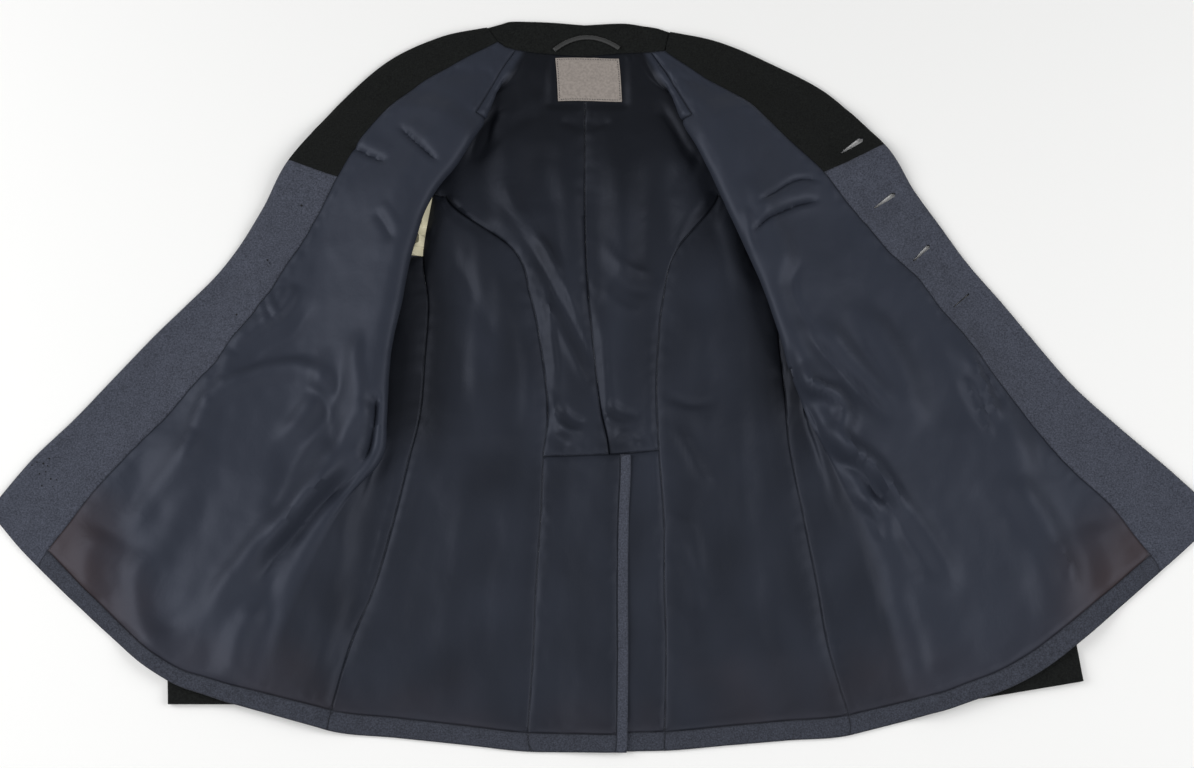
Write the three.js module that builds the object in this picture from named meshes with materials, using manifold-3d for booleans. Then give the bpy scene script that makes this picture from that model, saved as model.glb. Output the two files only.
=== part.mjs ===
// Officer's dress tunic, laid open on its back with the lining up. Millimetres, +Z up.
// +Y points to the collar and +X to the right as one looks down on it, the wearer's left front.
// Each half is one surface, described by sections that run from the centre back to the front edge.
// In a section the cloth lies flat, turns under the front in an S-shaped fold, and comes back out.
import * as THREE from "three";
import { mergeVertices } from "three/addons/utils/BufferGeometryUtils.js";
import Module from "manifold-3d";

// Thickness of the cloths, and the gap that seams and laid-on pieces keep
const CLOTH = 1.5;
const LINING = 1.0;
const SEAM = 0.3;

// The S-shaped fold at each side, and how far its height reaches over the front
const TURN_RADIUS = 2.4;
const ROLL_RADIUS = 7;
const CREST_OUT = 1.2 * ROLL_RADIUS;
const RISE_SPREAD = 95;

// Sleeves lie flat under the fronts, which are lifted over them
const SLEEVE_HOLLOW = 3.6;
const ARMHOLE_HOLLOW = 2 * TURN_RADIUS;
const SLEEVE_LIFT = { height: 8, margin: 14, fall: 28 };
const BUTTON_LIFT = { height: 5.4, margin: 15, fall: 24 };

// The lapel and the collar fold to the outside, over an edge this far out and deep
const LAPEL_FOLD = { out: 2.2, drop: 3.5 };
const COLLAR = { under: 1.4, over: 0.8, out: 1.7, top: 4.2, bottom: 0.8 };

const BUTTON = { radius: 10, rim: 8.6, height: 4.6, rimHeight: 2.6, shank: 2.2 };
const BUTTONHOLE = { width: 2.4, from: -5, deep: 40 };
const LABEL = { left: -42, right: 22, lean: 3 };
const LOOP = { wide: 2.3, thick: 1.1 };

// The middle of the outline, which the part's origin lies under
const MIDDLE = { x: 7, y: 15.3 };

const BLACK = 0x16181a;
const GREY = 0x4a4e59;
const SATIN = 0x23272f;
const CREAM = 0xcdc4a4;
const WOVEN = 0x8f8781;
const BRAID = 0x2a2b2b;
const METAL = 0xb08d4a;

// Plan of the left half: the x, y of each line where a section crosses it, neck to hem
const LEFT_PLAN = [
  // centre     princess      side          roll          chest         lining edge   front edge
  [[-13, 341], [-40, 343], [-60, 345], [-74, 346], [-92, 351], [-100, 357], [-110, 371]],
  [[-12, 317], [-53, 318], [-78, 317], [-91, 314], [-122, 323], [-144, 330], [-161, 358]],
  [[-12, 275], [-85, 282], [-150, 268], [-112, 269], [-148, 288], [-184, 303], [-210, 332]],
  [[-12, 236], [-116, 239], [-159, 236], [-136, 223], [-180, 245], [-225, 260], [-259, 283]],
  [[-12, 196], [-149, 191], [-162, 193], [-163, 183], [-209, 195], [-255, 208], [-304, 226]],
  [[-11, 136], [-82, 136], [-170, 129], [-182, 122], [-230, 140], [-278, 157], [-327, 178]],
  [[-8, 84], [-65, 89], [-164, 80], [-190, 74], [-244, 96], [-300, 120], [-346, 144]],
  [[-3, 31], [-54, 35], [-166, 27], [-198, 21], [-258, 46], [-322, 82], [-370, 109]],
  [[3, -25], [-47, -27], [-169, -29], [-201, -35], [-274, -6], [-350, 43], [-401, 75]],
  [[11, -71], [-51, -72], [-178, -73], [-206, -81], [-287, -41], [-370, 14], [-427, 47]],
  [[9, -134], [-53, -134], [-191, -134], [-244, -119], [-316, -88], [-401, -21], [-463, 5]],
  [[8, -200], [-57, -200], [-207, -196], [-284, -176], [-350, -143], [-435, -58], [-498, -36]],
  [[8, -261], [-59, -261], [-228, -252], [-311, -228], [-382, -202], [-472, -102], [-534, -74]],
  [[7, -334], [-63, -332], [-243, -312], [-328, -292], [-405, -262], [-514, -163], [-562, -111]],
  [[6, -350], [-59, -349], [-246, -330], [-331, -308], [-409, -276], [-522, -179], [-572, -126]],
];

// Plan of the right half, in the same columns
const RIGHT_PLAN = [
  [[-13, 341], [18, 344], [36, 345], [46, 345], [61, 346], [68, 347], [73, 366]],
  [[-12, 317], [34, 315], [53, 314], [65, 311], [86, 315], [105, 317], [126, 352]],
  [[-12, 275], [63, 273], [113, 272], [86, 268], [117, 278], [147, 288], [176, 329]],
  [[-12, 236], [97, 232], [130, 228], [105, 224], [147, 236], [188, 248], [230, 297]],
  [[-12, 196], [120, 193], [141, 181], [124, 182], [175, 196], [223, 213], [285, 245]],
  [[-11, 136], [77, 134], [150, 133], [143, 136], [198, 152], [254, 171], [313, 196]],
  [[-8, 84], [64, 84], [172, 84], [161, 90], [218, 110], [280, 136], [336, 160]],
  [[-3, 31], [59, 38], [176, 36], [176, 44], [239, 72], [309, 107], [361, 121]],
  [[3, -25], [57, -12], [180, -11], [188, 1], [260, 29], [337, 67], [392, 81]],
  [[11, -71], [59, -66], [183, -62], [206, -45], [282, -13], [363, 32], [418, 46]],
  [[9, -134], [63, -130], [194, -129], [244, -109], [319, -73], [400, -23], [455, -2]],
  [[8, -200], [63, -196], [205, -194], [276, -170], [354, -131], [438, -72], [497, -44]],
  [[8, -261], [64, -257], [214, -254], [292, -228], [383, -193], [480, -116], [539, -83]],
  [[7, -332], [62, -331], [230, -316], [306, -300], [395, -262], [518, -167], [575, -119]],
  [[6, -349], [61, -348], [231, -334], [308, -316], [407, -277], [526, -183], [586, -131]],
];

// The fold in each section: its strength, the depth it is tucked under the front and its height;
// then the height of what lies under the back and under the front edge
const LEFT_FOLDS = [
  { fold: 0, tuck: 8, rise: 0, under: 2.7, stack: 3.6 },
  { fold: 0, tuck: 14, rise: 7, under: 2.7, stack: 3.6 },
  { fold: 1, tuck: 43, rise: 20, under: 0, stack: 3.6 },
  { fold: 1, tuck: 34, rise: 22, under: 0, stack: 3.6 },
  { fold: 1, tuck: 22, rise: 22, under: 0, stack: 3.6 },
  { fold: 1, tuck: 15, rise: 23, under: 0, stack: 0 },
  { fold: 1, tuck: 12, rise: 23, under: 0, stack: 0 },
  { fold: 1, tuck: 13, rise: 22, under: 0, stack: 0 },
  { fold: 1, tuck: 14, rise: 20, under: 0, stack: 0 },
  { fold: 0.65, tuck: 14, rise: 16, under: 0, stack: 0 },
  { fold: 0.3, tuck: 12, rise: 11, under: 0, stack: 0 },
  { fold: 0.1, tuck: 10, rise: 6, under: 0, stack: 0 },
  { fold: 0, tuck: 10, rise: 3, under: 0, stack: 0 },
  { fold: 0, tuck: 10, rise: 0, under: 0, stack: 0 },
  { fold: 0, tuck: 10, rise: 0, under: 0, stack: 0 },
];
const RIGHT_FOLDS = [
  { fold: 0, tuck: 8, rise: 0, under: 2.7, stack: 3.6 },
  { fold: 0, tuck: 14, rise: 7, under: 2.7, stack: 3.6 },
  { fold: 1, tuck: 38, rise: 20, under: 0, stack: 3.6 },
  { fold: 1, tuck: 35, rise: 22, under: 0, stack: 3.6 },
  { fold: 1, tuck: 29, rise: 22, under: 0, stack: 3.6 },
  { fold: 1, tuck: 24, rise: 22, under: 0, stack: 0 },
  { fold: 1, tuck: 20, rise: 22, under: 0, stack: 0 },
  { fold: 1, tuck: 16, rise: 20, under: 0, stack: 0 },
  { fold: 0.8, tuck: 14, rise: 17, under: 0, stack: 0 },
  { fold: 0.45, tuck: 12, rise: 13, under: 0, stack: 0 },
  { fold: 0.2, tuck: 10, rise: 9, under: 0, stack: 0 },
  { fold: 0.08, tuck: 10, rise: 5, under: 0, stack: 0 },
  { fold: 0, tuck: 10, rise: 3, under: 0, stack: 0 },
  { fold: 0, tuck: 10, rise: 0, under: 0, stack: 0 },
  { fold: 0, tuck: 10, rise: 0, under: 0, stack: 0 },
];

// The free inner edge of each lapel where it lies folded under, from the gorge down
const LEFT_LAPEL = [[-136, 330], [-163, 303], [-179, 286], [-243, 266], [-300, 226]];
const RIGHT_LAPEL = [[100, 325], [125, 303], [150, 289], [209, 264], [282, 246]];

// The vent: the left half overlaps, in a strip of its own cloth, and the right half lies under it.
// The overlap's lift falls away over three steps to the princess seam.
const VENT = {
  taper: [0.65, 0, 0],
  left: { edge: 21, strip: 11, lift: 3.2 },
  right: { edge: -14, strip: -7, lift: 0 },
};

// Sleeves: outer and inner edge of each ring, from just outside the armhole to the cuff
const LEFT_SLEEVE = [
  { outer: [-190, 264], inner: [-205, 132] },
  { outer: [-223, 250], inner: [-216, 103] },
  { outer: [-259, 202], inner: [-218, 65] },
  { outer: [-286, 139], inner: [-220, 27] },
  { outer: [-324, 75], inner: [-227, -10] },
  { outer: [-355, 4], inner: [-235, -57] },
  { outer: [-376, -67], inner: [-246, -112] },
  { outer: [-389, -139], inner: [-256, -169] },
  { outer: [-394, -210], inner: [-265, -224] },
  { outer: [-396, -257], inner: [-269, -261] },
  { outer: [-393, -306], inner: [-270, -306] },
];
const RIGHT_SLEEVE = [
  { outer: [150, 262], inner: [180, 158] },
  { outer: [177, 248], inner: [201, 108] },
  { outer: [222, 207], inner: [209, 68] },
  { outer: [259, 153], inner: [218, 30] },
  { outer: [296, 98], inner: [232, -10] },
  { outer: [332, 34], inner: [252, -59] },
  { outer: [360, -30], inner: [272, -115] },
  { outer: [390, -98], inner: [288, -168] },
  { outer: [418, -173], inner: [301, -215] },
  { outer: [440, -236], inner: [313, -261] },
  { outer: [447, -285], inner: [319, -306] },
];

// Collar stations from the left gorge to the right: the column of the neck that each is sewn to,
// the roll at the top, and the free edge beneath
const LEFT_COLLAR = [
  { column: 23, top: [-110, 371], leaf: [-134, 333] },
  { column: 20, top: [-97, 375], leaf: [-115, 330] },
  { column: 17, top: [-87, 378], leaf: [-98, 329] },
  { column: 8, top: [-70, 378], leaf: [-77, 328] },
  { column: 5, top: [-46, 377], leaf: [-50, 328] },
  { column: 2, top: [-13, 374], leaf: [-13, 327] },
];
const RIGHT_COLLAR = [
  { column: 5, top: [25, 376], leaf: [28, 328] },
  { column: 8, top: [47, 373], leaf: [58, 327] },
  { column: 17, top: [59, 371], leaf: [75, 326] },
  { column: 20, top: [65, 369], leaf: [85, 325] },
  { column: 23, top: [73, 366], leaf: [97, 326] },
];

// Both ends of each buttonhole, and the middle of each button on the other front
const BUTTONHOLES = [
  { from: [242, 237], to: [262, 251] },
  { from: [273, 179], to: [292, 193] },
  { from: [309, 124], to: [324, 139] },
  { from: [346, 77], to: [361, 90] },
];
const BUTTONS = [[-259, 233], [-288, 177], [-318, 121], [-347, 66]];

// Sections that the solids pass through, counted in rows of the tables
const ROWS = [0, 0.5, 1, 1.25, 1.5, 1.75, 2, 2.5, 3, 3.5, 4, 4.5, 5, 5.5, 6, 6.5, 7, 7.5, 8, 8.5, 9, 9.5];
ROWS.push(10, 11, 12, 13, 14);

// Named sections, and named points along a section
const SHOULDER = 2;
const LAPEL_END = 3.5;
const BREAK = 4;
const UNDERARM = 5;
const WAIST = 9;
const HEM_TOP = 13;
const U = {
  vent: 0, strip: 1, centre: 2, princess: 5, side: 8, armhole: 12,
  crest: 17, chest: 20, lining: 23, edge: 26,
};

const LEFT = { plan: LEFT_PLAN, folds: LEFT_FOLDS, lapel: LEFT_LAPEL, sleeve: LEFT_SLEEVE };
const RIGHT = { plan: RIGHT_PLAN, folds: RIGHT_FOLDS, lapel: RIGHT_LAPEL, sleeve: RIGHT_SLEEVE };
Object.assign(LEFT, { name: "left", vent: VENT.left, turn: 1, buttons: BUTTONS });
Object.assign(RIGHT, { name: "right", vent: VENT.right, turn: -1, buttons: [] });

const mix = (a, b, t) => a + (b - a) * t;
const mix2 = (a, b, t) => [mix(a[0], b[0], t), mix(a[1], b[1], t)];
const clamp = (t) => Math.min(1, Math.max(0, t));
const smooth = (t) => clamp(t) ** 2 * (3 - 2 * clamp(t));
const along = (p, way, d) => [p[0] + way[0] * d, p[1] + way[1] * d];

function direction(a, b) {
  const far = Math.hypot(b[0] - a[0], b[1] - a[1]);
  return [(b[0] - a[0]) / far, (b[1] - a[1]) / far];
}

// A value between rows of a table, on a smooth curve through its rows
function curved(rows, v) {
  const i = Math.min(Math.floor(v), rows.length - 2);
  const [a, b] = [rows[i], rows[i + 1]];
  const before = rows[i - 1] ?? b.map((x, k) => 2 * a[k] - x);
  const after = rows[i + 2] ?? a.map((x, k) => 2 * b[k] - x);
  const t = v - i;
  return a.map((x, k) => {
    const slopeA = (b[k] - before[k]) / 2;
    const slopeB = (after[k] - x) / 2;
    const rest = b[k] - x;
    return x + t * (slopeA + t * (3 * rest - 2 * slopeA - slopeB + t * (slopeA + slopeB - 2 * rest)));
  });
}

// A section between two rows of the fold table, eased so that nothing overshoots
function foldAt(folds, v) {
  const i = Math.min(Math.floor(v), folds.length - 2);
  const t = smooth(v - i);
  const at = {};
  for (const key of Object.keys(folds[i])) at[key] = mix(folds[i][key], folds[i + 1][key], t);
  return at;
}

// How far a plan point lies outside a chain of rings, taking their edges as its width
function outside(rings, p) {
  let best = Infinity;
  for (let i = 0; i + 1 < rings.length; i++) {
    const a = mix2(rings[i].outer, rings[i].inner, 0.5);
    const b = mix2(rings[i + 1].outer, rings[i + 1].inner, 0.5);
    const [dx, dy] = [b[0] - a[0], b[1] - a[1]];
    const t = clamp(((p[0] - a[0]) * dx + (p[1] - a[1]) * dy) / (dx * dx + dy * dy));
    const half = (ring) => Math.hypot(ring.outer[0] - ring.inner[0], ring.outer[1] - ring.inner[1]) / 2;
    const far = Math.hypot(p[0] - a[0] - t * dx, p[1] - a[1] - t * dy);
    best = Math.min(best, far - mix(half(rings[i]), half(rings[i + 1]), t));
  }
  return best;
}

// How high the sleeve and buttons under a plan point lift the cloth there
function liftAt(half, p) {
  const over = ({ height, margin, fall }, far) => height * smooth(1 - (far - margin) / fall);
  let lift = over(SLEEVE_LIFT, outside(half.sleeve, p));
  for (const [x, y] of half.buttons)
    lift = Math.max(lift, over(BUTTON_LIFT, Math.hypot(p[0] - x, p[1] - y)));
  return lift;
}

// The points of one section of a half, from the vent's edge to the lapel's free edge
function section(half, v) {
  const lines = half.plan[0].map((_, k) => curved(half.plan.map((row) => row[k]), v));
  const [centre, princess, side, roll, chest, lining, edge] = lines;
  const { fold, tuck, rise, under, stack } = foldAt(half.folds, v);
  const floor = CLOTH + under;
  const points = [];
  const put = (p, z) => points.push(new THREE.Vector3(p[0], p[1], z));

  const ventLift = half.vent.lift * smooth((v - (WAIST - 2)) / 2);
  const away = direction(princess, centre)[0];
  for (const far of [half.vent.edge, half.vent.strip, 0])
    put([centre[0] + Math.abs(away) * far, centre[1]], floor + ventLift);
  VENT.taper.forEach((share, k) => put(mix2(centre, princess, (k + 1) / 3), floor + ventLift * share));
  for (const t of [1 / 3, 2 / 3, 1]) {
    const p = mix2(princess, side, t);
    put(p, floor + liftAt(half, p) * (1 - fold) * (t > 0.5 ? 1 : 0));
  }

  const out = direction(roll, chest);
  const crest = along(roll, out, CREST_OUT);
  const shape = [
    [(tuck - TURN_RADIUS) / 2, 0],
    [tuck - TURN_RADIUS, 0],
    [tuck, TURN_RADIUS],
    [tuck - TURN_RADIUS, 2 * TURN_RADIUS],
    [(tuck - TURN_RADIUS + ROLL_RADIUS) / 2, (rise - 2 * ROLL_RADIUS + 2 * TURN_RADIUS) / 2],
    [ROLL_RADIUS, rise - 2 * ROLL_RADIUS],
    [0, rise - ROLL_RADIUS],
    [0.3 * ROLL_RADIUS, rise - 0.3 * ROLL_RADIUS],
    [CREST_OUT, rise],
  ];
  shape.forEach(([d, h], j) => {
    const t = (j + 1) / shape.length;
    const folded = j ? along(roll, out, d) : mix2(side, along(roll, out, 2 * d), 0.5);
    const p = mix2(mix2(side, crest, t), folded, fold);
    const lifted = mix(1, clamp((j - 3) / 2), fold);
    put(p, floor + mix(rise * smooth(t), h, fold) + liftAt(half, p) * lifted);
  });

  const front = [crest, chest, lining, edge];
  for (let k = 1; k <= 9; k++) {
    const i = Math.min(Math.floor(k / 3), 2);
    const p = mix2(mix2(front[i], front[i + 1], k / 3 - i), curved(front, k / 3), clamp(v));
    const far = Math.hypot(p[0] - roll[0], p[1] - roll[1]);
    const laid = mix(under, stack, clamp(k / 2));
    put(p, CLOTH + laid + liftAt(half, p) + rise * (1 - smooth((far - ROLL_RADIUS) / RISE_SPREAD)));
  }

  const last = points[U.edge];
  const over = direction(lining, edge);
  const leaf = curved(half.lapel, Math.min(v, half.lapel.length - 1));
  const leafHeight = CLOTH + stack - LAPEL_FOLD.drop;
  put(along(edge, over, LAPEL_FOLD.out), last.z - LAPEL_FOLD.drop / 2);
  put(edge, last.z - LAPEL_FOLD.drop);
  put(mix2(edge, leaf, 0.5), (last.z - LAPEL_FOLD.drop + leafHeight) / 2);
  put(leaf, leafHeight);
  return points;
}

// A grid of points as a surface, with the direction to the lining's side at each of them.
// exists() names its cells, and a closed grid's last row joins its first.
function surfaceOf(grid, turn, exists, closed = false) {
  const rows = grid.length;
  const columns = grid[0].length - 1;
  const row = (r) => (closed ? (r + rows) % rows : r);
  const cell = (r, c) => r >= 0 && r < rows - (closed ? 0 : 1) && c >= 0 && c < columns && exists(r, c);
  const has = (r, c) => cell(row(r), c);
  const normals = grid.map((line, r) =>
    line.map((_, c) => {
      const sum = new THREE.Vector3();
      for (const [dr, dc] of [[-1, -1], [-1, 0], [0, -1], [0, 0]]) {
        if (!has(r + dr, c + dc)) continue;
        const [above, below] = [grid[row(r + dr)], grid[row(r + dr + 1)]];
        const falling = below[c + dc + 1].clone().sub(above[c + dc]);
        const rising = below[c + dc].clone().sub(above[c + dc + 1]);
        sum.add(falling.cross(rising).normalize());
      }
      return sum.normalize().multiplyScalar(turn);
    }),
  );
  return { grid, turn, normals, row, has };
}

// A wall over the cells of a surface that keep() names, from one height to another above it,
// drawn back by half a seam's gap all round
function wall({ grid, turn, normals, row, has }, keep, low, high) {
  const inside = (r, c) => has(r, c) && keep(row(r), c);
  const used = new Map();
  const positions = [];
  const indices = [];

  function vertex(r, c) {
    const key = row(r) * 1000 + c;
    if (used.has(key)) return used.get(key);
    const p = grid[row(r)][c];
    const [a, b, d, e] = [inside(r - 1, c - 1), inside(r - 1, c), inside(r, c - 1), inside(r, c)];
    const move = new THREE.Vector3();
    const step = (r2, c2) => move.add(grid[row(r2)][c2].clone().sub(p).normalize().multiplyScalar(SEAM / 2));
    const right = (b && !a) || (e && !d);
    const left = (a && !b) || (d && !e);
    const down = (d && !a) || (e && !b);
    const up = (a && !d) || (b && !e);
    if (right && !left) step(r, c + 1);
    if (left && !right) step(r, c - 1);
    if (down && !up) step(r + 1, c);
    if (up && !down) step(r - 1, c);
    const n = normals[row(r)][c];
    const base = p.clone().add(move);
    for (const height of [high, low]) positions.push(...base.clone().addScaledVector(n, height).toArray());
    used.set(key, positions.length / 3 - 2);
    return positions.length / 3 - 2;
  }

  const face = (x, y, z) => (turn > 0 ? indices.push(x, y, z) : indices.push(x, z, y));
  for (let r = 0; r < grid.length; r++)
    for (let c = 0; c < grid[0].length - 1; c++) {
      if (!inside(r, c)) continue;
      const [a, b, d, e] = [vertex(r, c), vertex(r, c + 1), vertex(r + 1, c), vertex(r + 1, c + 1)];
      face(a, b, d);
      face(b, e, d);
      face(a + 1, d + 1, b + 1);
      face(b + 1, d + 1, e + 1);
      const rim = (p, q) => {
        face(q, p, p + 1);
        face(q, p + 1, q + 1);
      };
      if (!inside(r - 1, c)) rim(a, b);
      if (!inside(r, c + 1)) rim(b, e);
      if (!inside(r + 1, c)) rim(e, d);
      if (!inside(r, c - 1)) rim(d, a);
    }
  const geometry = new THREE.BufferGeometry();
  geometry.setAttribute("position", new THREE.Float32BufferAttribute(positions, 3));
  geometry.setIndex(indices);
  return geometry;
}

const tunic = new THREE.Group();
tunic.position.set(-MIDDLE.x, -MIDDLE.y, 0);

function add(name, geometry, colour, roughness = 0.9, metalness = 0) {
  const material = new THREE.MeshStandardMaterial({ color: colour, roughness, metalness });
  const mesh = new THREE.Mesh(geometry, material);
  mesh.name = name;
  tunic.add(mesh);
  return mesh;
}

const middleOf = (r) => (ROWS[r] + ROWS[r + 1]) / 2;

// The surface of one half of the body, open at the armhole, and with a lapel down to the break
function bodySurface(half) {
  const exists = (r, c) => {
    const v = middleOf(r);
    if (c >= U.edge) return v < LAPEL_END;
    if (c < U.centre) return v > WAIST;
    return !(v > SHOULDER && v < UNDERARM && c >= U.side && c < U.armhole);
  };
  return surfaceOf(ROWS.map((v) => section(half, v)), half.turn, exists);
}

// Shells, linings, facings and hem, each a part of the same surface
function addBody(half, body) {
  const isLeft = half === LEFT;
  const laid = (low, high, keep) => wall(body, (r, c) => keep(middleOf(r), c), low, high);
  const shell = (keep) => laid(-CLOTH, 0, keep);
  const over = (keep) => laid(SEAM, SEAM + LINING, keep);
  const frontFrom = (v) => (v < SHOULDER ? U.crest : v < UNDERARM ? U.armhole : U.side);
  const isBack = (v, c) => c < U.princess || (v < BREAK && c < U.side) || (v < SHOULDER && c < U.crest);
  const isSide = (v, c) => v > BREAK && c >= U.princess && c < U.side;
  const isFront = (v, c) => c >= frontFrom(v);
  const name = (piece) => `${piece}_${half.name}`;

  add(name("back"), shell(isBack), GREY);
  add(name("side_back"), shell(isSide), GREY);
  add(name("front"), shell(isFront), GREY);
  add(name("lapel_facing"), over((v, c) => v < BREAK && c >= U.lining), BLACK);
  add(name("front_facing"), over((v, c) => v > BREAK && c >= U.lining), GREY);

  const inner = isLeft ? U.strip : U.centre;
  const satin = (keep) => over((v, c) => v < HEM_TOP && c < U.lining && keep(v, c));
  add(name("lining_back"), satin((v, c) => v < WAIST && c >= U.centre && isBack(v, c)), SATIN, 0.4);
  add(name("lining_skirt"), satin((v, c) => v > WAIST && c >= inner && c < U.princess), SATIN, 0.4);
  add(name("lining_side"), satin(isSide), SATIN, 0.4);
  add(name("lining_front"), satin(isFront), SATIN, 0.4);

  const hem = (from, to) => over((v, c) => v > HEM_TOP && c >= from && c < to);
  add(name("hem_back"), hem(inner, U.princess), GREY);
  add(name("hem_side"), hem(U.princess, U.side), GREY);
  add(name("hem_front"), hem(U.side, U.lining), GREY);
  if (isLeft) add("vent_facing_left", over((v, c) => v > WAIST && c < U.strip), GREY);
}

// Away from the sleeve, square to one of its edges at a ring
function sideOf(half, k, edge) {
  const rings = half.sleeve;
  const way = direction(rings[Math.max(0, k - 1)][edge], rings[Math.min(rings.length - 1, k + 1)][edge]);
  const sign = edge === "inner" ? half.turn : -half.turn;
  return [-way[1] * sign, way[0] * sign];
}

// A sleeve's surface: round the armhole's edge first, then round each flat ring down to the cuff.
// The two surfaces share their direction along that edge, so that their walls meet in a mitre.
function sleeveSurface(half, body) {
  const from = ROWS.indexOf(SHOULDER);
  const to = ROWS.indexOf(UNDERARM);
  const armhole = [];
  for (let r = from; r < to; r++) armhole.push([r, U.side]);
  for (let c = U.side; c < U.armhole; c++) armhole.push([to, c]);
  for (let r = to; r > from; r--) armhole.push([r, U.armhole]);
  for (let c = U.armhole; c > U.side; c--) armhole.push([from, c]);

  const across = to - from;
  const round = U.armhole - U.side;
  const grid = armhole.map(([r, c]) => [body.grid[r][c].clone()]);
  half.sleeve.forEach(({ outer, inner }, k) => {
    const hollow = k ? SLEEVE_HOLLOW : (SLEEVE_HOLLOW + ARMHOLE_HOLLOW) / 2;
    const radius = hollow / 2;
    const outwards = [sideOf(half, k, "outer"), sideOf(half, k, "inner")];
    const ends = [along(outer, outwards[0], -radius - CLOTH), along(inner, outwards[1], -radius - CLOTH)];
    for (let i = 0; i < armhole.length; i++) {
      const onUnder = i <= across;
      const onTop = i >= across + round && i <= 2 * across + round;
      let p;
      let z;
      if (onUnder || onTop) {
        p = mix2(ends[0], ends[1], onUnder ? i / across : (2 * across + round - i) / across);
        z = onUnder ? 0 : hollow;
      } else {
        const near = i < across + round ? 1 : 0;
        const angle = (Math.PI * (near ? i - across : 2 * (across + round) - i)) / round;
        p = along(ends[near], outwards[near], radius * Math.sin(angle));
        z = radius * (1 - Math.cos(angle));
      }
      grid[i].push(new THREE.Vector3(p[0], p[1], CLOTH + z));
    }
  });
  const sleeve = surfaceOf(grid, half.turn, () => true, true);
  armhole.forEach(([r, c], i) => {
    const shared = body.normals[r][c].clone().add(sleeve.normals[i][0]).normalize();
    body.normals[r][c] = shared;
    sleeve.normals[i][0] = shared;
  });
  return { ...sleeve, across };
}

function addSleeve(half, sleeve) {
  const { grid, across } = sleeve;
  const cuff = grid[0].length - 2;
  const under = (i) => i < across;
  const shell = (keep) => wall(sleeve, keep, -CLOTH, 0);
  add(`sleeve_under_${half.name}`, shell((i, k) => k < cuff && under(i)), GREY);
  add(`sleeve_top_${half.name}`, shell((i, k) => k < cuff && !under(i)), GREY);
  add(`cuff_${half.name}`, shell((i, k) => k >= cuff), BLACK);
  if (half === LEFT) {
    const shown = (i, k) => k < 2 && i > 0 && i < across;
    add("sleeve_lining_left", wall(sleeve, shown, SEAM, SEAM + LINING), CREAM, 0.5);
  }
}

// The collar: up the stand from the neck seam, over the roll and down to the free edge beneath
function addCollar() {
  const station = (half) => ({ column, top, leaf }) => {
    const neck = section(half, 0)[column];
    const up = direction([neck.x, neck.y], top);
    return [
      [neck.toArray(), COLLAR.top],
      [mix2([neck.x, neck.y], top, 0.5), COLLAR.top],
      [top, COLLAR.top],
      [along(top, up, COLLAR.out), (COLLAR.top + COLLAR.bottom) / 2],
      [top, COLLAR.bottom],
      [mix2(top, leaf, 0.5), COLLAR.bottom],
      [leaf, COLLAR.bottom],
    ].map(([p, z]) => new THREE.Vector3(p[0], p[1], z));
  };
  const grid = [...LEFT_COLLAR.map(station(LEFT)), ...RIGHT_COLLAR.map(station(RIGHT))];
  add("collar", wall(surfaceOf(grid, -1, () => true), () => true, -COLLAR.under, COLLAR.over), BLACK);
}

// The label lies on the back lining, on the same sections as the lining under it
function addLabel() {
  const grid = [0.1, 0.5, 1, 1.5, 1.6].map((v) => {
    const row = section(LEFT, v);
    const lean = (LABEL.lean * v) / 1.6;
    return [0, 0.5, 1].map((t) => {
      const x = mix(LABEL.left, LABEL.right, t) + lean;
      return new THREE.Vector3(x, row[U.centre].y, row[U.centre].z);
    });
  });
  const low = 2 * SEAM + LINING;
  add("label", wall(surfaceOf(grid, -1, () => true), () => true, low, low + LINING), WOVEN);
}

// A closed bar of an oval section along a line of points
function bar(line, wide, thick, sides) {
  const positions = [];
  const indices = [];
  line.forEach((p, i) => {
    const before = line[Math.max(0, i - 1)];
    const after = line[Math.min(line.length - 1, i + 1)];
    const across = new THREE.Vector3(before.y - after.y, after.x - before.x, 0).normalize();
    for (let k = 0; k < sides; k++) {
      const angle = (2 * Math.PI * k) / sides;
      positions.push(p.x + across.x * wide * Math.cos(angle), p.y + across.y * wide * Math.cos(angle));
      positions.push(p.z + thick * Math.sin(angle));
    }
  });
  for (let i = 0; i + 1 < line.length; i++)
    for (let k = 0; k < sides; k++) {
      const [a, b] = [i * sides + k, i * sides + ((k + 1) % sides)];
      indices.push(a, b, a + sides, b, b + sides, a + sides);
    }
  const last = (line.length - 1) * sides;
  for (let k = 1; k + 1 < sides; k++) {
    indices.push(0, k + 1, k);
    indices.push(last, last + k, last + k + 1);
  }
  const geometry = new THREE.BufferGeometry();
  geometry.setAttribute("position", new THREE.Float32BufferAttribute(positions, 3));
  geometry.setIndex(indices);
  return geometry;
}

function addHangerLoop() {
  const height = COLLAR.top + COLLAR.over + SEAM + LOOP.thick;
  const arc = new THREE.QuadraticBezierCurve3(
    new THREE.Vector3(-43, 347.5, height),
    new THREE.Vector3(-12, 374, height),
    new THREE.Vector3(22, 349.5, height),
  );
  add("hanger_loop", bar(arc.getPoints(14), LOOP.wide, LOOP.thick, 8), BRAID, 0.7);
}

// How high the underside of a mesh is over a small round spot
function undersideOver(mesh, x, y, radius) {
  const up = new THREE.Vector3(0, 0, 1);
  const spots = [[0, 0], [radius, 0], [-radius, 0], [0, radius], [0, -radius]];
  const heights = spots.map(([dx, dy]) => {
    const ray = new THREE.Raycaster(new THREE.Vector3(x + dx, y + dy, -1), up);
    return ray.intersectObject(mesh)[0].point.z;
  });
  return Math.min(...heights);
}

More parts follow.
